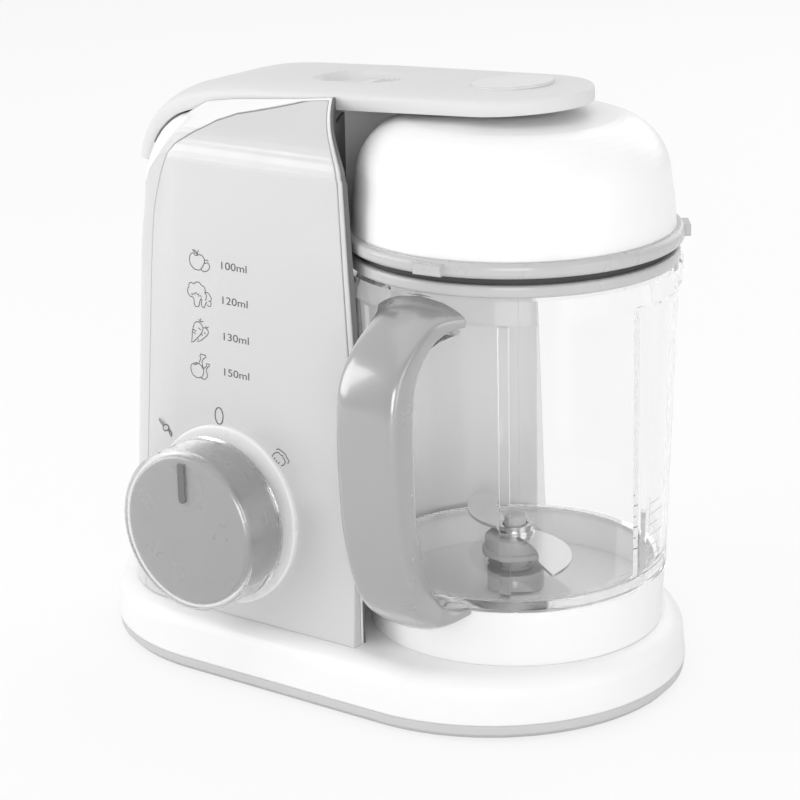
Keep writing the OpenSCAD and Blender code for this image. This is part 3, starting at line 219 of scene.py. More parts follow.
LOOKS = (
    (white, "base_shell bowl_seat"),
    (rim_mat, "base_rim"),
    (cover_mat, "bottom_cover filler_neck board_posts"),
    (rubber_mat, "rubber_feet drive_belt motor_mounts"),
    (steel_mat, "bottom_screws seat_screws blade_shaft motor_shaft column_screws boiler_cup hinge_pin"),
    (steel_mat, "latch_spring blade_nut"),
    (bronze_mat, "shaft_bush"),
    (black_mat, "large_pulley small_pulley drive_dog rotary_switch switch_shaft thermostat cord_inlet"),
    (motor_mat, "motor motor_bracket boiler_heater boiler_bracket"),
    (column_mat, "column_shell"),
    (panel, "front_panel"),
    (nook_shade_mat, "side_trim"),
    (bezel_mat, "knob_bezel"),
    (knob_mat, "knob"),
    (pointer_mat, "knob_pointer"),
    (silicone_mat, "boiler_gasket steam_pipe steam_duct steam_nozzle lid_seal"),
    (board_mat, "control_board"),
    (arm_mat, "arm_cover arm_underside"),
    (arm_cap_mat, "arm_cap latch_slider filler_plug"),
    (dome_mat, "dome_lid"),
    (flange_mat, "lid_flange bowl_ring"),
    (clear_mat, "bowl"),
    (clear2_mat, "handle_core"),
    (grip_mat, "handle_grip"),
    (hub_mat, "blade_bush blade_hub blade_dog"),
    (blade_mat, "upper_blade lower_blade"),
)
for mat, names in LOOKS:
    for name in names.split():
        o = NODES[name]
        if not o.data.materials:
            o.data.materials.append(mat)
        for s in o.material_slots:
            s.material = mat


# ---------------------------------------------------------------- building pieces
def at(x, y, z):
    """A point of the solids' own frame, in mm, as a point of the scene."""
    return Vector(((x + ROW_X) * MM, (y + ROW_Y) * MM, z * MM))


def piece(name, bm, mat, body, replaced=(), smooth=40):
    """Makes the visible piece; edges sharper than smooth degrees stay sharp, and 0 leaves it flat."""
    mesh = bpy.data.meshes.new(name)
    bm.normal_update()
    bm.to_mesh(mesh)
    bm.free()
    o = bpy.data.objects.new(name, mesh)
    bpy.context.scene.collection.objects.link(o)
    mesh.materials.append(mat)
    if smooth:
        for p in mesh.polygons:
            p.use_smooth = True
        mesh.set_sharp_from_angle(angle=math.radians(smooth))
    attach(o, body)
    if replaced:
        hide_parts(*replaced)


def arc(x, y, r, start, end, n=12):
    """n + 1 points of a circle between two angles in degrees."""
    turns = [math.radians(start + (end - start) * i / n) for i in range(n + 1)]
    return [(x + r * math.cos(t), y + r * math.sin(t)) for t in turns]


def lathe(profile, place, steps=96, closed=True):
    """Turns (radius, height) points about an axis; place(r, angle, h) gives the point in the scene."""
    bm = bmesh.new()
    rings = []
    for r, h in profile:
        if r < 1e-6:
            rings.append([bm.verts.new(place(0, 0, h))])
        else:
            rings.append([bm.verts.new(place(r, 2 * math.pi * i / steps, h)) for i in range(steps)])
    pairs = list(zip(rings, rings[1:]))
    if closed:
        pairs.append((rings[-1], rings[0]))
    for a, b in pairs:
        for i in range(steps):
            j = (i + 1) % steps
            if len(a) == 1:
                bm.faces.new((a[0], b[j], b[i]))
            elif len(b) == 1:
                bm.faces.new((a[i], a[j], b[0]))
            else:
                bm.faces.new((a[i], a[j], b[j], b[i]))
    bmesh.ops.recalc_face_normals(bm, faces=bm.faces)
    return bm


def skin(bm, rows):
    """Faces between rows of vertices, each row a closed ring, with both ends capped."""
    for a, b in zip(rows, rows[1:]):
        for i in range(len(a)):
            j = (i + 1) % len(a)
            bm.faces.new((a[i], a[j], b[j], b[i]))
    bm.faces.new(rows[0][::-1])
    bm.faces.new(rows[-1])


def loft(rings):
    """Skins closed rings of points of equal length into one solid."""
    bm = bmesh.new()
    skin(bm, [[bm.verts.new(p) for p in ring] for ring in rings])
    bmesh.ops.recalc_face_normals(bm, faces=bm.faces)
    return bm


def smoothstep(t):
    t = min(max(t, 0), 1)
    return t * t * (3 - 2 * t)


def blend(v, start, end):
    """0 at start and before it, 1 at end and past it."""
    return smoothstep((v - start) / (end - start))


def along(table, v):
    """The table's value at v, straight between its points and level past its ends."""
    for (a, low), (b, high) in zip(table, table[1:]):
        if a <= v <= b:
            return low + (high - low) * (v - a) / (b - a)
    return table[0][1] if v < table[0][0] else table[-1][1]


# ---------------------------------------------------------------- the column's shoulders
# How far the roof beside the arm rises, at places along X
ROOF = ((-110, 0), (-84, 0), (-70, 3), (-55, 5.5), (-40, 7), (-20, 9), (0, 11.5), (12, 10), (24, 6))
# The rise starts past the arm's side, fades to the column's front and back, and grows with height
RISE_SIDE, RISE_OUT, RISE_FADE, RISE_Z = (32.0, 32.6), 57, 24.5, (200, 222)
# The corners sink by this much, more from start to end of each span
CORNER_DROP = 22
CORNER_SIDE, CORNER_X, CORNER_Z = (30, 46), (-66, -92), (165, 222)
# The mesh is cut at these places first, above HIGH, so that it can bend there
HIGH = 160
CUTS_Z, CUTS_X = range(165, 235, 5), range(-106, 30, 4)
CUTS_SIDE = (30, 32.0, 32.3, 32.6, 34.5, 37, 40, 43, 46, 50, 54, 57)


def shoulders(x, y, z):
    """The new height of a point of the column: the roof rises to the arm beside it, and the corners
    under the arm's bend are rounded off."""
    side = abs(y)
    fade = min(max((RISE_OUT - side) / RISE_FADE, 0), 1)
    rise = along(ROOF, x) * fade * blend(side, *RISE_SIDE) * blend(z, *RISE_Z)
    drop = CORNER_DROP * blend(side, *CORNER_SIDE) * blend(x, *CORNER_X) * blend(z, *CORNER_Z)
    return z - drop + rise


def shouldered(node, name, mat):
    """The node's own form with its upper part reshaped."""
    bm = bmesh.new()
    bm.from_mesh(NODES[node].data)
    bm.transform(NODES[node].matrix_world)
    planes = [((0, 0, z * MM), (0, 0, 1)) for z in CUTS_Z]
    planes += [(at(x, 0, 0), (1, 0, 0)) for x in CUTS_X]
    planes += [(at(0, sign * side, 0), (0, 1, 0)) for sign in (-1, 1) for side in CUTS_SIDE]
    for co, no in planes:
        high = [f for f in bm.faces if max(v.co.z for v in f.verts) > HIGH * MM]
        geom = list(dict.fromkeys(part for f in high for part in (*f.verts, *f.edges, f)))
        bmesh.ops.bisect_plane(bm, geom=geom, plane_co=co, plane_no=no, dist=1e-6)
    for v in bm.verts:
        v.co.z = shoulders(v.co.x / MM - ROW_X, v.co.y / MM - ROW_Y, v.co.z / MM) * MM
    piece(name, bm, mat, "machine", (node,), smooth=35)


shouldered("column_shell", "column_body", column_mat)
shouldered("front_panel", "panel_face", panel)
# The strip beside the panel's right edge, dark grey as painted shade for the gap in the nook
shouldered("side_trim", "nook_shade_strip", nook_shade_mat)

# ---------------------------------------------------------------- printed marks
PRINT_OUT = 0.05  # how far print and ticks stand out, in mm


def front(x, z, out=PRINT_OUT):
    """A point on the panel's face, at X and Z in mm."""
    return at(x, -(COLUMN_FRONT - (z - DECK_Z) * math.tan(math.radians(FRONT_LEAN))) - out, z)


def ribbon(bm, points, width, closed=False, place=front):
    """A printed stroke of even width along 2-D points."""
    n = len(points)
    sides = []
    for i, p in enumerate(points):
        a = points[(i - 1) % n] if closed or i else points[0]
        b = points[(i + 1) % n] if closed or i < n - 1 else points[-1]
        d = Vector((b[0] - a[0], b[1] - a[1])).normalized()
        nx, ny = -d.y * width / 2, d.x * width / 2
        sides.append((bm.verts.new(place(p[0] + nx, p[1] + ny)), bm.verts.new(place(p[0] - nx, p[1] - ny))))
    for i in range(n if closed else n - 1):
        a, b = sides[i], sides[(i + 1) % n]
        bm.faces.new((a[0], a[1], b[1], b[0]))


# Each mark: the width of its strokes, and each stroke's points on the panel, as X and Z in mm.
# True joins a stroke's end to its start.
MARKS = (
    # 0 above the knob
    (0.5, (
        (True, [
            (-40.0, 111.2), (-40.1, 110.1), (-40.3, 109.1), (-40.7, 108.2), (-41.2, 107.6),
            (-41.8, 107.3), (-42.5, 107.4), (-43.1, 107.8), (-43.6, 108.5), (-44.0, 109.4),
            (-44.2, 110.5), (-44.2, 111.6), (-44.0, 112.6), (-43.6, 113.5), (-43.0, 114.0),
            (-42.4, 114.3), (-41.8, 114.3), (-41.1, 113.9), (-40.6, 113.2), (-40.2, 112.2),
        ]),
    )),
    # Two-armed blade, for chopping
    (0.45, (
        (True, [
            (-69.4, 101.1), (-69.5, 100.6), (-69.9, 100.1), (-70.4, 99.7), (-71.0, 99.5), (-71.6, 99.5),
            (-72.1, 99.7), (-72.4, 100.1), (-72.5, 100.6), (-72.4, 101.1), (-72.1, 101.6), (-71.6, 102.0),
            (-71.0, 102.2), (-70.3, 102.2), (-69.8, 102.0), (-69.5, 101.6),
        ]),
        (False, [
            (-72.4, 101.5), (-73.7, 102.7), (-74.5, 103.5), (-74.2, 104.4), (-73.6, 103.7),
            (-72.8, 102.9), (-71.8, 102.1),
        ]),
        (False, [
            (-69.7, 100.3), (-68.9, 99.0), (-68.0, 97.5), (-67.6, 98.4), (-67.8, 99.4), (-68.9, 100.2),
            (-69.3, 100.7),
        ]),
    )),
    # Cloud, for steaming
    (0.42, (
        (False, [
            (-14.3, 98.6), (-13.5, 100.0), (-12.1, 100.9), (-10.8, 100.9), (-9.8, 100.0), (-8.8, 100.2),
            (-8.9, 99.4), (-8.0, 98.6), (-7.5, 97.7), (-8.3, 96.3), (-9.8, 95.6),
        ]),
        (False, [
            (-12.2, 102.0), (-11.0, 102.5), (-9.8, 102.0), (-8.3, 101.3), (-7.3, 100.7), (-7.1, 99.9),
            (-6.3, 99.1), (-5.6, 98.4), (-6.3, 97.1),
        ]),
        (False, [(-13.6, 97.5), (-12.6, 98.5)]),
        (False, [(-13.2, 96.1), (-11.7, 97.5)]),
        (False, [(-11.3, 96.2), (-10.5, 97.0)]),
    )),
    # Fruit
    (0.36, (
        (True, [
            (-53.4, 175.9), (-52.1, 176.5), (-50.6, 176.1), (-49.5, 175.0), (-49.4, 173.6),
            (-50.2, 172.0), (-51.3, 170.6), (-52.4, 169.9), (-53.5, 170.1), (-54.6, 170.1),
            (-55.9, 170.9), (-57.0, 172.1), (-57.4, 173.7), (-57.2, 175.2), (-56.4, 176.4),
            (-55.3, 176.7), (-54.2, 175.8),
        ]),
        (False, [(-53.4, 175.9), (-52.9, 177.3), (-52.6, 178.2)]),
        (False, [
            (-53.5, 176.5), (-54.8, 177.2), (-56.0, 178.0), (-54.9, 178.0), (-53.9, 177.5),
            (-53.3, 176.8),
        ]),
        (False, [
            (-49.4, 173.1), (-48.2, 173.6), (-47.3, 173.3), (-46.7, 172.4), (-47.0, 171.2),
            (-48.1, 170.2), (-49.5, 169.7), (-50.8, 170.0), (-51.3, 170.5),
        ]),
        (False, [(-49.3, 173.8), (-49.5, 174.8), (-48.9, 174.5), (-48.2, 174.7), (-47.4, 174.2)]),
    )),
    # Florets
    (0.36, (
        (False, [
            (-51.4, 158.5), (-52.0, 157.2), (-52.3, 155.5), (-53.1, 154.7), (-54.2, 154.7),
            (-55.0, 155.7), (-55.0, 157.2), (-55.5, 158.4), (-57.1, 158.6), (-57.9, 159.3),
            (-58.5, 160.5), (-58.3, 161.8), (-57.6, 162.5), (-58.0, 163.1), (-57.3, 164.1),
            (-56.2, 164.4), (-55.2, 163.9), (-54.4, 164.6), (-53.3, 165.0), (-51.9, 164.7),
            (-51.1, 163.9), (-49.9, 163.6), (-49.2, 162.7), (-49.1, 161.4), (-49.5, 161.0),
        ]),
        (False, [
            (-56.6, 159.7), (-55.8, 159.3), (-55.5, 160.1), (-54.7, 159.7), (-54.1, 160.6),
            (-53.3, 159.8), (-52.4, 160.3), (-52.8, 159.1), (-51.7, 159.6), (-51.1, 158.9),
        ]),
        (False, [
            (-51.4, 158.3), (-50.9, 157.8), (-51.2, 156.5), (-50.9, 155.2), (-49.8, 154.8),
            (-49.3, 155.5), (-49.0, 156.6), (-48.2, 157.5),
        ]),
        (False, [
            (-49.5, 161.0), (-48.3, 161.4), (-47.1, 160.9), (-46.3, 159.9), (-45.9, 158.9),
            (-46.3, 158.0), (-47.4, 157.9),
        ]),
        (False, [(-49.2, 161.0), (-48.5, 160.0), (-48.6, 158.5), (-49.3, 158.0)]),
        (False, [(-46.3, 158.0), (-46.0, 157.0), (-46.3, 155.9), (-47.4, 155.8), (-48.2, 156.3)]),
    )),
    # Roots
    (0.36, (
        (True, [
            (-56.5, 139.4), (-56.3, 141.3), (-56.1, 143.9), (-55.6, 146.1), (-55.0, 147.6),
            (-54.0, 148.4), (-52.9, 148.6), (-51.5, 148.0), (-50.7, 147.0), (-50.4, 146.0),
            (-51.0, 144.4), (-52.1, 143.0), (-53.7, 141.5), (-55.4, 139.9),
        ]),
        (False, [(-52.7, 149.7), (-52.0, 148.8), (-51.5, 150.0)]),
        (False, [(-52.0, 148.8), (-50.2, 149.0)]),
        (False, [(-55.6, 145.0), (-54.0, 144.4)]),
        (False, [(-55.6, 143.9), (-54.5, 143.3)]),
        (False, [(-52.9, 146.0), (-51.5, 145.4)]),
        (False, [
            (-50.3, 146.4), (-49.1, 146.6), (-48.0, 145.9), (-47.5, 145.0), (-48.0, 143.8),
            (-49.7, 142.3), (-51.6, 140.9), (-53.5, 140.2), (-52.8, 141.5),
        ]),
        (False, [(-49.0, 147.3), (-48.6, 146.5), (-47.4, 147.3)]),
        (False, [(-51.5, 143.7), (-50.6, 143.2)]),
        (False, [(-49.9, 144.6), (-49.1, 144.1)]),
    )),
    # Meat
    (0.36, (
        (True, [
            (-56.8, 130.1), (-55.5, 130.8), (-54.1, 131.3), (-52.7, 131.2), (-51.1, 130.1),
            (-50.2, 128.8), (-50.2, 127.3), (-51.1, 125.8), (-52.5, 125.2), (-54.1, 125.1),
            (-55.8, 125.9), (-56.8, 127.3), (-57.1, 128.7),
        ]),
        (False, [
            (-52.6, 131.6), (-51.6, 133.5), (-52.2, 134.4), (-51.6, 135.4), (-50.8, 135.1),
            (-50.0, 135.2), (-49.2, 135.1), (-48.9, 134.5), (-49.7, 133.8), (-50.4, 133.4),
            (-51.1, 132.1), (-50.8, 130.6), (-50.4, 129.6),
        ]),
        (False, [
            (-50.4, 129.2), (-49.8, 129.7), (-48.5, 130.7), (-48.8, 131.7), (-48.0, 131.7),
            (-47.0, 131.6), (-47.0, 131.0), (-47.9, 130.4), (-48.6, 129.6), (-48.8, 128.3),
            (-48.1, 127.2), (-48.3, 126.1), (-49.5, 125.0), (-50.6, 125.0), (-51.7, 125.3),
        ]),
        (False, [(-55.5, 130.5), (-54.6, 130.3), (-53.8, 130.9), (-53.1, 130.7)]),
    )),
)
marks = bmesh.new()
for width, strokes in MARKS:
    for closed, points in strokes:
        ribbon(marks, points, width, closed)
piece("panel_marks", marks, ink, "machine", smooth=0)

# The plain amounts beside the marks, with the X and Z where each starts
AMOUNTS = (("100ml", -41.8, 173.4), ("120ml", -41.3, 159.2), ("130ml", -40.7, 144.3), ("150ml", -40.5, 129.6))
AMOUNT_SIZE, AMOUNT_LONG = 4.4, 13.1


def lettered(name, text, x0, z0):
    """An amount, turned into a flat mesh and laid on the panel."""
    curve = bpy.data.curves.new(name, "FONT")
    curve.body, curve.size, curve.align_x, curve.align_y = text, AMOUNT_SIZE, "LEFT", "CENTER"
    tmp = bpy.data.objects.new(name + "_tmp", curve)
    bpy.context.scene.collection.objects.link(tmp)
    mesh = tmp.evaluated_get(bpy.context.evaluated_depsgraph_get()).to_mesh()
    bm = bmesh.new()
    bm.from_mesh(mesh)
    tmp.to_mesh_clear()
    bpy.data.objects.remove(tmp)
    span = max(v.co.x for v in bm.verts) - min(v.co.x for v in bm.verts)
    for v in bm.verts:
        v.co = front(x0 + v.co.x * AMOUNT_LONG / span, z0 + v.co.y)
    piece(name, bm, ink, "machine", smooth=0)


for i, (text, x0, z0) in enumerate(AMOUNTS):
    lettered(f"amount_{i}", text, x0, z0)


# ---------------------------------------------------------------- level ticks on the bowl
def on_bowl(deg, z, out=PRINT_OUT):
    r = BOWL_FOOT_R + (BOWL_TOP_R - BOWL_FOOT_R) * (z - BOWL_Z) / BOWL_WALL_H + out
    a = math.radians(deg)
    return at(BOWL_X + r * math.cos(a), r * math.sin(a), z)


TICK_COUNT, TICK_Z, TICK_STEP, TICK_FROM = 6, 62, 4.5, 1.5
TICK_POINTS = (24, 16)  # a long tick and a short one by turns, with a point every half degree
LINE_Z, LINE_LONG = 60, 28
ticks = bmesh.new()
for i in range(TICK_COUNT):
    points = [(TICK_FROM + 0.5 * k, TICK_Z + TICK_STEP * i) for k in range(TICK_POINTS[i % 2])]
    ribbon(ticks, points, 0.45, place=on_bowl)
ribbon(ticks, [(TICK_FROM, LINE_Z + k) for k in range(LINE_LONG)], 0.35, place=on_bowl)
piece("bowl_ticks", ticks, frost, "blend_bowl", smooth=0)


# ---------------------------------------------------------------- handle
def resample(points, n):
    """n points at even steps along a line of points."""
    lengths = [0]
    for a, b in zip(points, points[1:]):
        lengths.append(lengths[-1] + math.dist(a, b))
    out, k = [], 0
    for i in range(n):
        t = lengths[-1] * i / (n - 1)
        while k < len(points) - 2 and lengths[k + 1] < t:
            k += 1
        u = (t - lengths[k]) / (lengths[k + 1] - lengths[k])
        out.append(tuple(points[k][j] + (points[k + 1][j] - points[k][j]) * u for j in (0, 1)))
    return out


def spline(a, b, c, d, t):
    """The Catmull-Rom curve between b and c."""
    bow, twist = 2 * a - 5 * b + 4 * c - d, 3 * b - a - 3 * c + d
    return 0.5 * (2 * b + (c - a) * t + bow * t ** 2 + twist * t ** 3)


def smooth_line(points, n):
    """A curve through the points, evenly divided into n."""
    p = [points[0]] + points + [points[-1]]
    out = []
    for a, b, c, d in zip(p, p[1:], p[2:], p[3:]):
        for k in range(8):
            out.append(tuple(spline(a[j], b[j], c[j], d[j], k / 8) for j in (0, 1)))
    return resample(out + [points[-1]], n)


GRIP_W = 13.8  # half the handle's width
HANDLE_TURN = math.radians(-89)
HANDLE_REACH = 104.0  # the furthest that the handle stands from the bowl's axis
STATIONS, RING = 84, 56
# The handle's outer and inner line from top to bottom: distance from the bowl's axis, and height
OUTER = smooth_line([
    (64.4, 176.0), (70, 174.2), (77, 171.6), (84, 168.2), (91, 163.4), (97.2, 157.2), (101.4, 149.6),
    (103.4, 140.5), (103.9, 128), (103.6, 112), (102.4, 96), (100.4, 84), (96.8, 71), (91.6, 59.5),
    (84.5, 50.5), (76, 44.6), (69, 42.4), (63.2, 42.4),
], STATIONS)
INNER = smooth_line([
    (65.0, 162.6), (69, 161.0), (73, 159.4), (77.6, 157.2), (81.6, 154.2), (84.8, 150), (86.6, 144.6),
    (87, 136), (87, 120), (86.6, 104), (85.4, 90), (82.8, 78), (79.2, 68), (75, 61.5), (71, 58),
    (67.6, 56), (65, 55), (63.2, 54.6),
], STATIONS)


def on_handle(r, w, z):
    """A point at r from the bowl's axis, w to the side of the handle's middle plane."""
    c, s = math.cos(HANDLE_TURN), math.sin(HANDLE_TURN)
    return at(BOWL_X + r * c - w * s, r * s + w * c, z)


def root(t):
    """1 at the handle's two ends, 0 between them; t runs from 0 at the top to 1 at the bottom."""
    return max(smoothstep((0.16 - t) / 0.16), smoothstep((t - 0.88) / 0.12))


def flare(t):
    """Half the handle's width, which grows at both ends."""
    top, bottom = max(1 - t / 0.1, 0), max((t - 0.92) / 0.08, 0)
    return GRIP_W + 6.5 * max(top, bottom) ** 2


def handle_rings(start, end, half, power):
    """Rings between two shares of the way from the outer to the inner line; a high power squares them."""
    rings = []
    for i in range(STATIONS):
        (outer_r, outer_z), (inner_r, inner_z), t = OUTER[i], INNER[i], i / (STATIONS - 1)
        mid, depth, wide = (start(t) + end(t)) / 2, (end(t) - start(t)) / 2, half(t)
        # The outer face is crowned across its width near the top, and hugs the bowl at the bottom
        crown = 5.5 * smoothstep((0.42 - t) / 0.3) - 7.5 * smoothstep((t - 0.78) / 0.2)
        ring = []
        for k in range(RING):
            c, s = math.cos(2 * math.pi * k / RING), math.sin(2 * math.pi * k / RING)
            u = mid + depth * math.copysign(abs(c) ** (2 / power), c)
            w = wide * math.copysign(abs(s) ** (2 / power), s)
            r, z = outer_r + (inner_r - outer_r) * u, outer_z + (inner_z - outer_z) * u
            r = min(r, math.sqrt(HANDLE_REACH ** 2 - w * w))
            ring.append(on_handle(r, w, z - (w / 20) ** 2 * (1 - u) * crown))
        rings.append(ring)
    return rings


grip_rings = handle_rings(lambda t: 0, lambda t: 0.93 - 0.3 * root(t), flare, 6)
core_rings = handle_rings(lambda t: 0.8 - 0.2 * root(t), lambda t: 1.0, lambda t: flare(t) - 2.5, 5)
piece("handle_shell", loft(grip_rings), grip_mat, "blend_bowl", ("handle_grip",))
piece("handle_clear_core", loft(core_rings), clear2_mat, "blend_bowl", ("handle_core",))

# ---------------------------------------------------------------- arm
ARM_W, ARM_T = 32, 5.65  # half the arm's width, and its depth below the edge line
ARM_RISE = 3.4  # degrees by which the straight part rises to its end
ARM_TOP = 244.4  # the edge line's height over the bowl's axis
TAIL_ANGLE, BEND_ANGLE = 171, 107  # the bend runs from one to the other
BEND_X, BEND_R, SWEEP_R = -75.5, 34, 140
SOFT = 1.6  # radius of the top edge
ACROSS = 44
# Height of the crown along the arm, from the tail to the round end
CROWN = ((0, 0.4), (10, 0.8), (20, 1.7), (30, 3.2), (40, 4.3), (52, 4.3), (66, 3.9), (85, 3.8), (110, 3.8),
         (140, 3.2), (175, 2.4), (215, 1.4))
RECESS_X, RECESS_Y, RECESS_LONG, RECESS_R, RECESS_DEEP = BOWL_X - 68, -6, 9, 11.5, 3.4
HINGE_X, HINGE_Z, HINGE_R, KNUCKLE = -102.0, 207.42, 4.5, (20.3, 31.6)


def arm_stations():
    """Points on the arm's edge line with the direction that is up from it: the tight bend, a wide
    sweep, the straight part and the round end."""
    bend, rise = math.radians(BEND_ANGLE), math.radians(90 + ARM_RISE)
    slope = math.radians(ARM_RISE)
    sweep_x = BEND_X + (BEND_R - SWEEP_R) * math.cos(bend)
    x0 = sweep_x + SWEEP_R * math.cos(rise)
    z0 = ARM_TOP - (BOWL_X - x0) * math.tan(slope)
    sweep_z = z0 - SWEEP_R * math.sin(rise)
    bend_z = sweep_z - (BEND_R - SWEEP_R) * math.sin(bend)
    out = []
    for x, z, r, start, end, n in ((BEND_X, bend_z, BEND_R, TAIL_ANGLE, BEND_ANGLE, 60),
                                   (sweep_x, sweep_z, SWEEP_R, BEND_ANGLE, 90 + ARM_RISE, 32)):
        for i in range(n):
            a = math.radians(start + (end - start) * i / n)
            out.append((x + r * math.cos(a), z + r * math.sin(a), math.cos(a), math.sin(a)))
    straight = [x0 + (BOWL_X - x0) * i / 110 for i in range(110)]
    # The last station stops just short of the tip, where the arm would have no width
    end = [BOWL_X + ARM_W * math.sin(math.radians(min(89.4, 90 * i / 32))) for i in range(33)]
    for x in straight + end:
        out.append((x, z0 + (x - x0) * math.tan(slope), -math.sin(slope), math.cos(slope)))
    return out


def recess(x, y):
    """How deep the finger recess is at a point."""
    inside = RECESS_R - math.hypot(max(abs(x - RECESS_X) - RECESS_LONG, 0), y - RECESS_Y)
    return RECESS_DEEP * smoothstep(inside / 2.2 + 0.3)


def arm_section(x, crown, flat):
    """The arm's section as (y, up) points, from the underside round over the top."""
    over = max(x - BOWL_X, 0)
    half = math.sqrt(ARM_W ** 2 - over ** 2)
    soft = min(SOFT, half * 0.8)
    side = [(half - soft * 0.3, -ARM_T), (half - 0.15 * min(soft, 1), -ARM_T + 0.8), (half, -ARM_T + 2.2)]
    top = []
    for k in range(ACROSS + 1):
        share = 2 * k / ACROSS - 1
        y = half * (math.sin(math.pi / 2 * share) if half > 2 else share)
        up = crown * (1 - min(math.hypot(y, over) / ARM_W, 1) ** 6)
        into_edge = max(soft - (half - abs(y)), 0)
        up -= soft - math.sqrt(max(soft ** 2 - into_edge ** 2, 0))
        top.append((y, up - recess(x, y) if flat else up))
    return [(-y, up) for y, up in side] + top + side[::-1]


def arm_mesh():
    bm = bmesh.new()
    rows = []
    stations = arm_stations()
    length, last = 0, stations[0]
    for x, z, nx, nz in stations:
        length += math.hypot(x - last[0], z - last[1])
        last = (x, z)
        section = arm_section(x, along(CROWN, length), nx > -0.2)
        rows.append([bm.verts.new(at(x + nx * up, y, z + nz * up)) for y, up in section])
    skin(bm, rows)
    # Knuckles of the hinge
    for side in (-1, 1):
        ends = [[bm.verts.new(at(x, side * y, z)) for x, z in arc(HINGE_X, HINGE_Z, HINGE_R, 0, 360, 32)[:-1]]
                for y in KNUCKLE]
        skin(bm, ends)
    bmesh.ops.recalc_face_normals(bm, faces=bm.faces)
    return bm


piece("arm_shell", arm_mesh(), arm_mat, "steam_arm", ("arm_cover",), smooth=35)


# ---------------------------------------------------------------- knob
def on_knob(r, a, h):
    return at(KNOB_X + r * math.cos(a), KNOB_Y - h, KNOB_Z + r * math.sin(a))


def on_panel(r, a, h):
    return front(KNOB_X + r * math.cos(a), KNOB_Z + r * math.sin(a), h)


KNOB_H = 20.2
# The grey face inside, and the clear shell over it, as radius and height
FACE = [(0, KNOB_H - 1.4), (30.0, KNOB_H - 1.6), *arc(29.8, KNOB_H - 3.6, 2.0, 80, 0, 6),
        (31.8, 3.2), (32.0, 1.6), (32.0, 0.4), (8, 0.4), (8, 2), (0, 2)]
SHELL = [(0, KNOB_H), (15, KNOB_H), (28, KNOB_H - 0.05), (31.4, KNOB_H - 0.15),
         *arc(31.6, KNOB_H - 2.8, 2.6, 84, 0, 12),
         (34.2, 9.0), (34.3, 5.0), (34.5, 2.6), (34.5, 0.4), (32.4, 0.4), (32.4, 3.2), (32.4, KNOB_H - 4),
         *arc(30.2, KNOB_H - 3.5, 2.2, 0, 84, 8), (20, KNOB_H - 1.0), (0, KNOB_H - 0.9)]
# Ring round the knob, parallel to the leaning panel
BEZEL = [(24, -2), (37.4, -2), (37.5, 1.4), *arc(36.6, 1.4, 0.9, 0, 90, 5), (35.2, 2.3), (24, 2.3)]
piece("knob_face", lathe(FACE, on_knob, closed=False), knob_mat, "control_knob", ("knob",))
piece("knob_shell", lathe(SHELL, on_knob, closed=False), smoke, "control_knob")
piece("bezel_ring", lathe(BEZEL, on_panel), bezel_mat, "machine", ("knob_bezel",))

# The mark on the knob: a slot with a round lower end
SLOT_X, SLOT_W, SLOT_LOW, SLOT_HIGH, SLOT_OUT, SLOT_IN = -1.0, 1.7, 13.5, 28.6, 0.05, -2.4
slot = [(-SLOT_W, SLOT_LOW), *arc(0, SLOT_LOW, SLOT_W, 195, 345, 10), (SLOT_W, SLOT_LOW),
        (SLOT_W, SLOT_HIGH), (-SLOT_W, SLOT_HIGH)]
slot_rings = [[at(KNOB_X + SLOT_X + x, KNOB_Y - KNOB_H - out, KNOB_Z + z) for x, z in slot]
              for out in (SLOT_OUT, SLOT_IN)]
piece("knob_slot", loft(slot_rings), pointer_mat, "control_knob", ("knob_pointer",), smooth=20)


# ---------------------------------------------------------------- studio
def area(name, place, aim, size, power):
    light = bpy.data.lights.new(name, "AREA")
    light.energy, light.size = power, size
    o = bpy.data.objects.new(name, light)
    o.location = place
    o.rotation_mode = "QUATERNION"
    o.rotation_quaternion = (Vector(aim) - Vector(place)).to_track_quat("-Z", "Y")
    bpy.context.scene.collection.objects.link(o)


area("key", (-0.95, -0.7, 0.55), (-0.05, 0, 0.13), 0.8, 5)
area("front", (0.72, -1.0, 0.36), (0, 0, 0.13), 0.55, 4)
area("side", (1.3, -0.1, 0.4), (0, 0, 0.12), 0.8, 2.5)
area("top", (0.1, 0.1, 1.5), (0, 0, 0), 1.4, 2)
area("back", (0.0, 1.4, 0.9), (0, 0, 0.1), 1.2, 4)


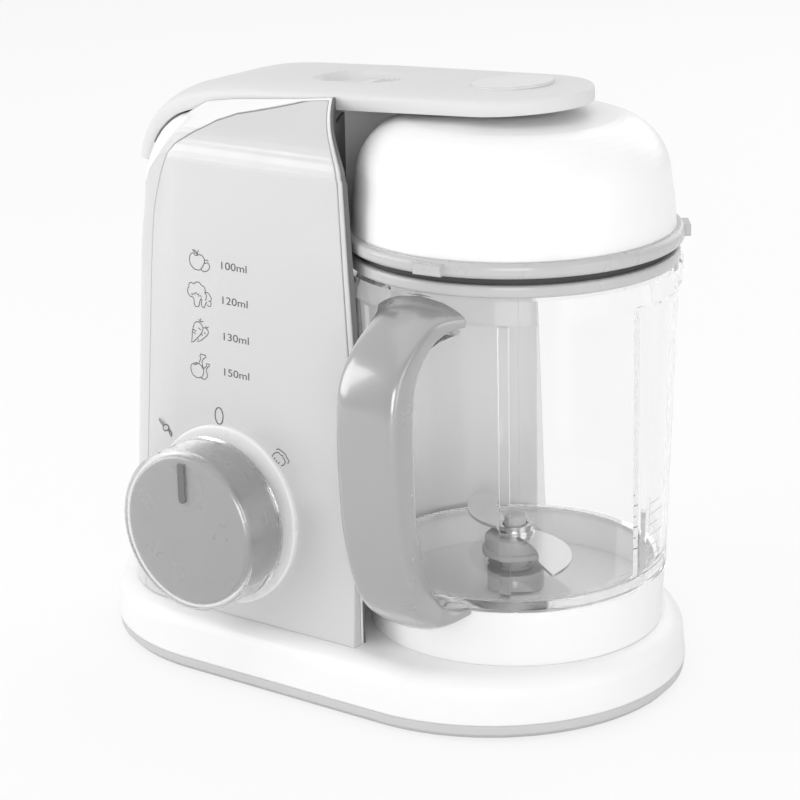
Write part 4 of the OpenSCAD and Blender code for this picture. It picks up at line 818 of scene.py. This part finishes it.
def seen(n):
    """1 where the surroundings are seen themselves, straight or through something clear, and 0 where
    they only light the object."""
    path = n.add("LightPath")
    return n.math("MAXIMUM", path.outputs["Is Camera Ray"], path.outputs["Is Transmission Ray"])


class WorldNodes(Nodes):
    """The same shorthand for the world."""

    def __init__(self, name):
        self.world = bpy.data.worlds.new(name)
        self.world.use_nodes = True
        self.tree = self.world.node_tree


# The room is white where it is seen. Its light is stronger from above and from the left.
ROOM_LEVEL, ROOM_SLOPE = 0.6, (-0.16, 0.04, 0.22)
studio = WorldNodes("studio")
bpy.context.scene.world = studio.world
background = studio.tree.nodes["Background"]
background.inputs["Color"].default_value = grey(1)
where = studio.add("TexCoord")
slope = studio.add("VectorMath", operation="DOT_PRODUCT")
slope.inputs[1].default_value = ROOM_SLOPE
studio.link(where.outputs["Generated"], slope.inputs[0])
level = studio.add("MapRange")
studio.link(studio.math("ADD", slope.outputs["Value"], ROOM_LEVEL), level.inputs["To Min"])
studio.link(seen(studio), level.inputs["Value"])
studio.link(level.outputs["Result"], background.inputs["Strength"])

FLOOR_R, FLOOR_GLOW = 6, 0.8
bm = bmesh.new()
bmesh.ops.create_circle(bm, cap_ends=True, segments=96, radius=FLOOR_R)
floor_mesh = bpy.data.meshes.new("floor")
bm.to_mesh(floor_mesh)
bm.free()
floor = bpy.data.objects.new("floor", floor_mesh)
floor.location.z = -0.0002
bpy.context.scene.collection.objects.link(floor)
pale = Nodes("floor_white")
pale.bsdf.inputs["Base Color"].default_value = grey(0.86)
pale.bsdf.inputs["Roughness"].default_value = 0.9
pale.bsdf.inputs["Specular IOR Level"].default_value = 0.0
glow = pale.add("Emission", Color=grey(1), Strength=1.0)
mix = pale.add("MixShader")
pale.link(pale.math("MULTIPLY", seen(pale), FLOOR_GLOW), mix.inputs["Fac"])
pale.link(pale.bsdf.outputs[0], mix.inputs[1])
pale.link(glow.outputs[0], mix.inputs[2])
pale.link(mix.outputs[0], pale.out.inputs["Surface"])
floor.data.materials.append(pale.mat)
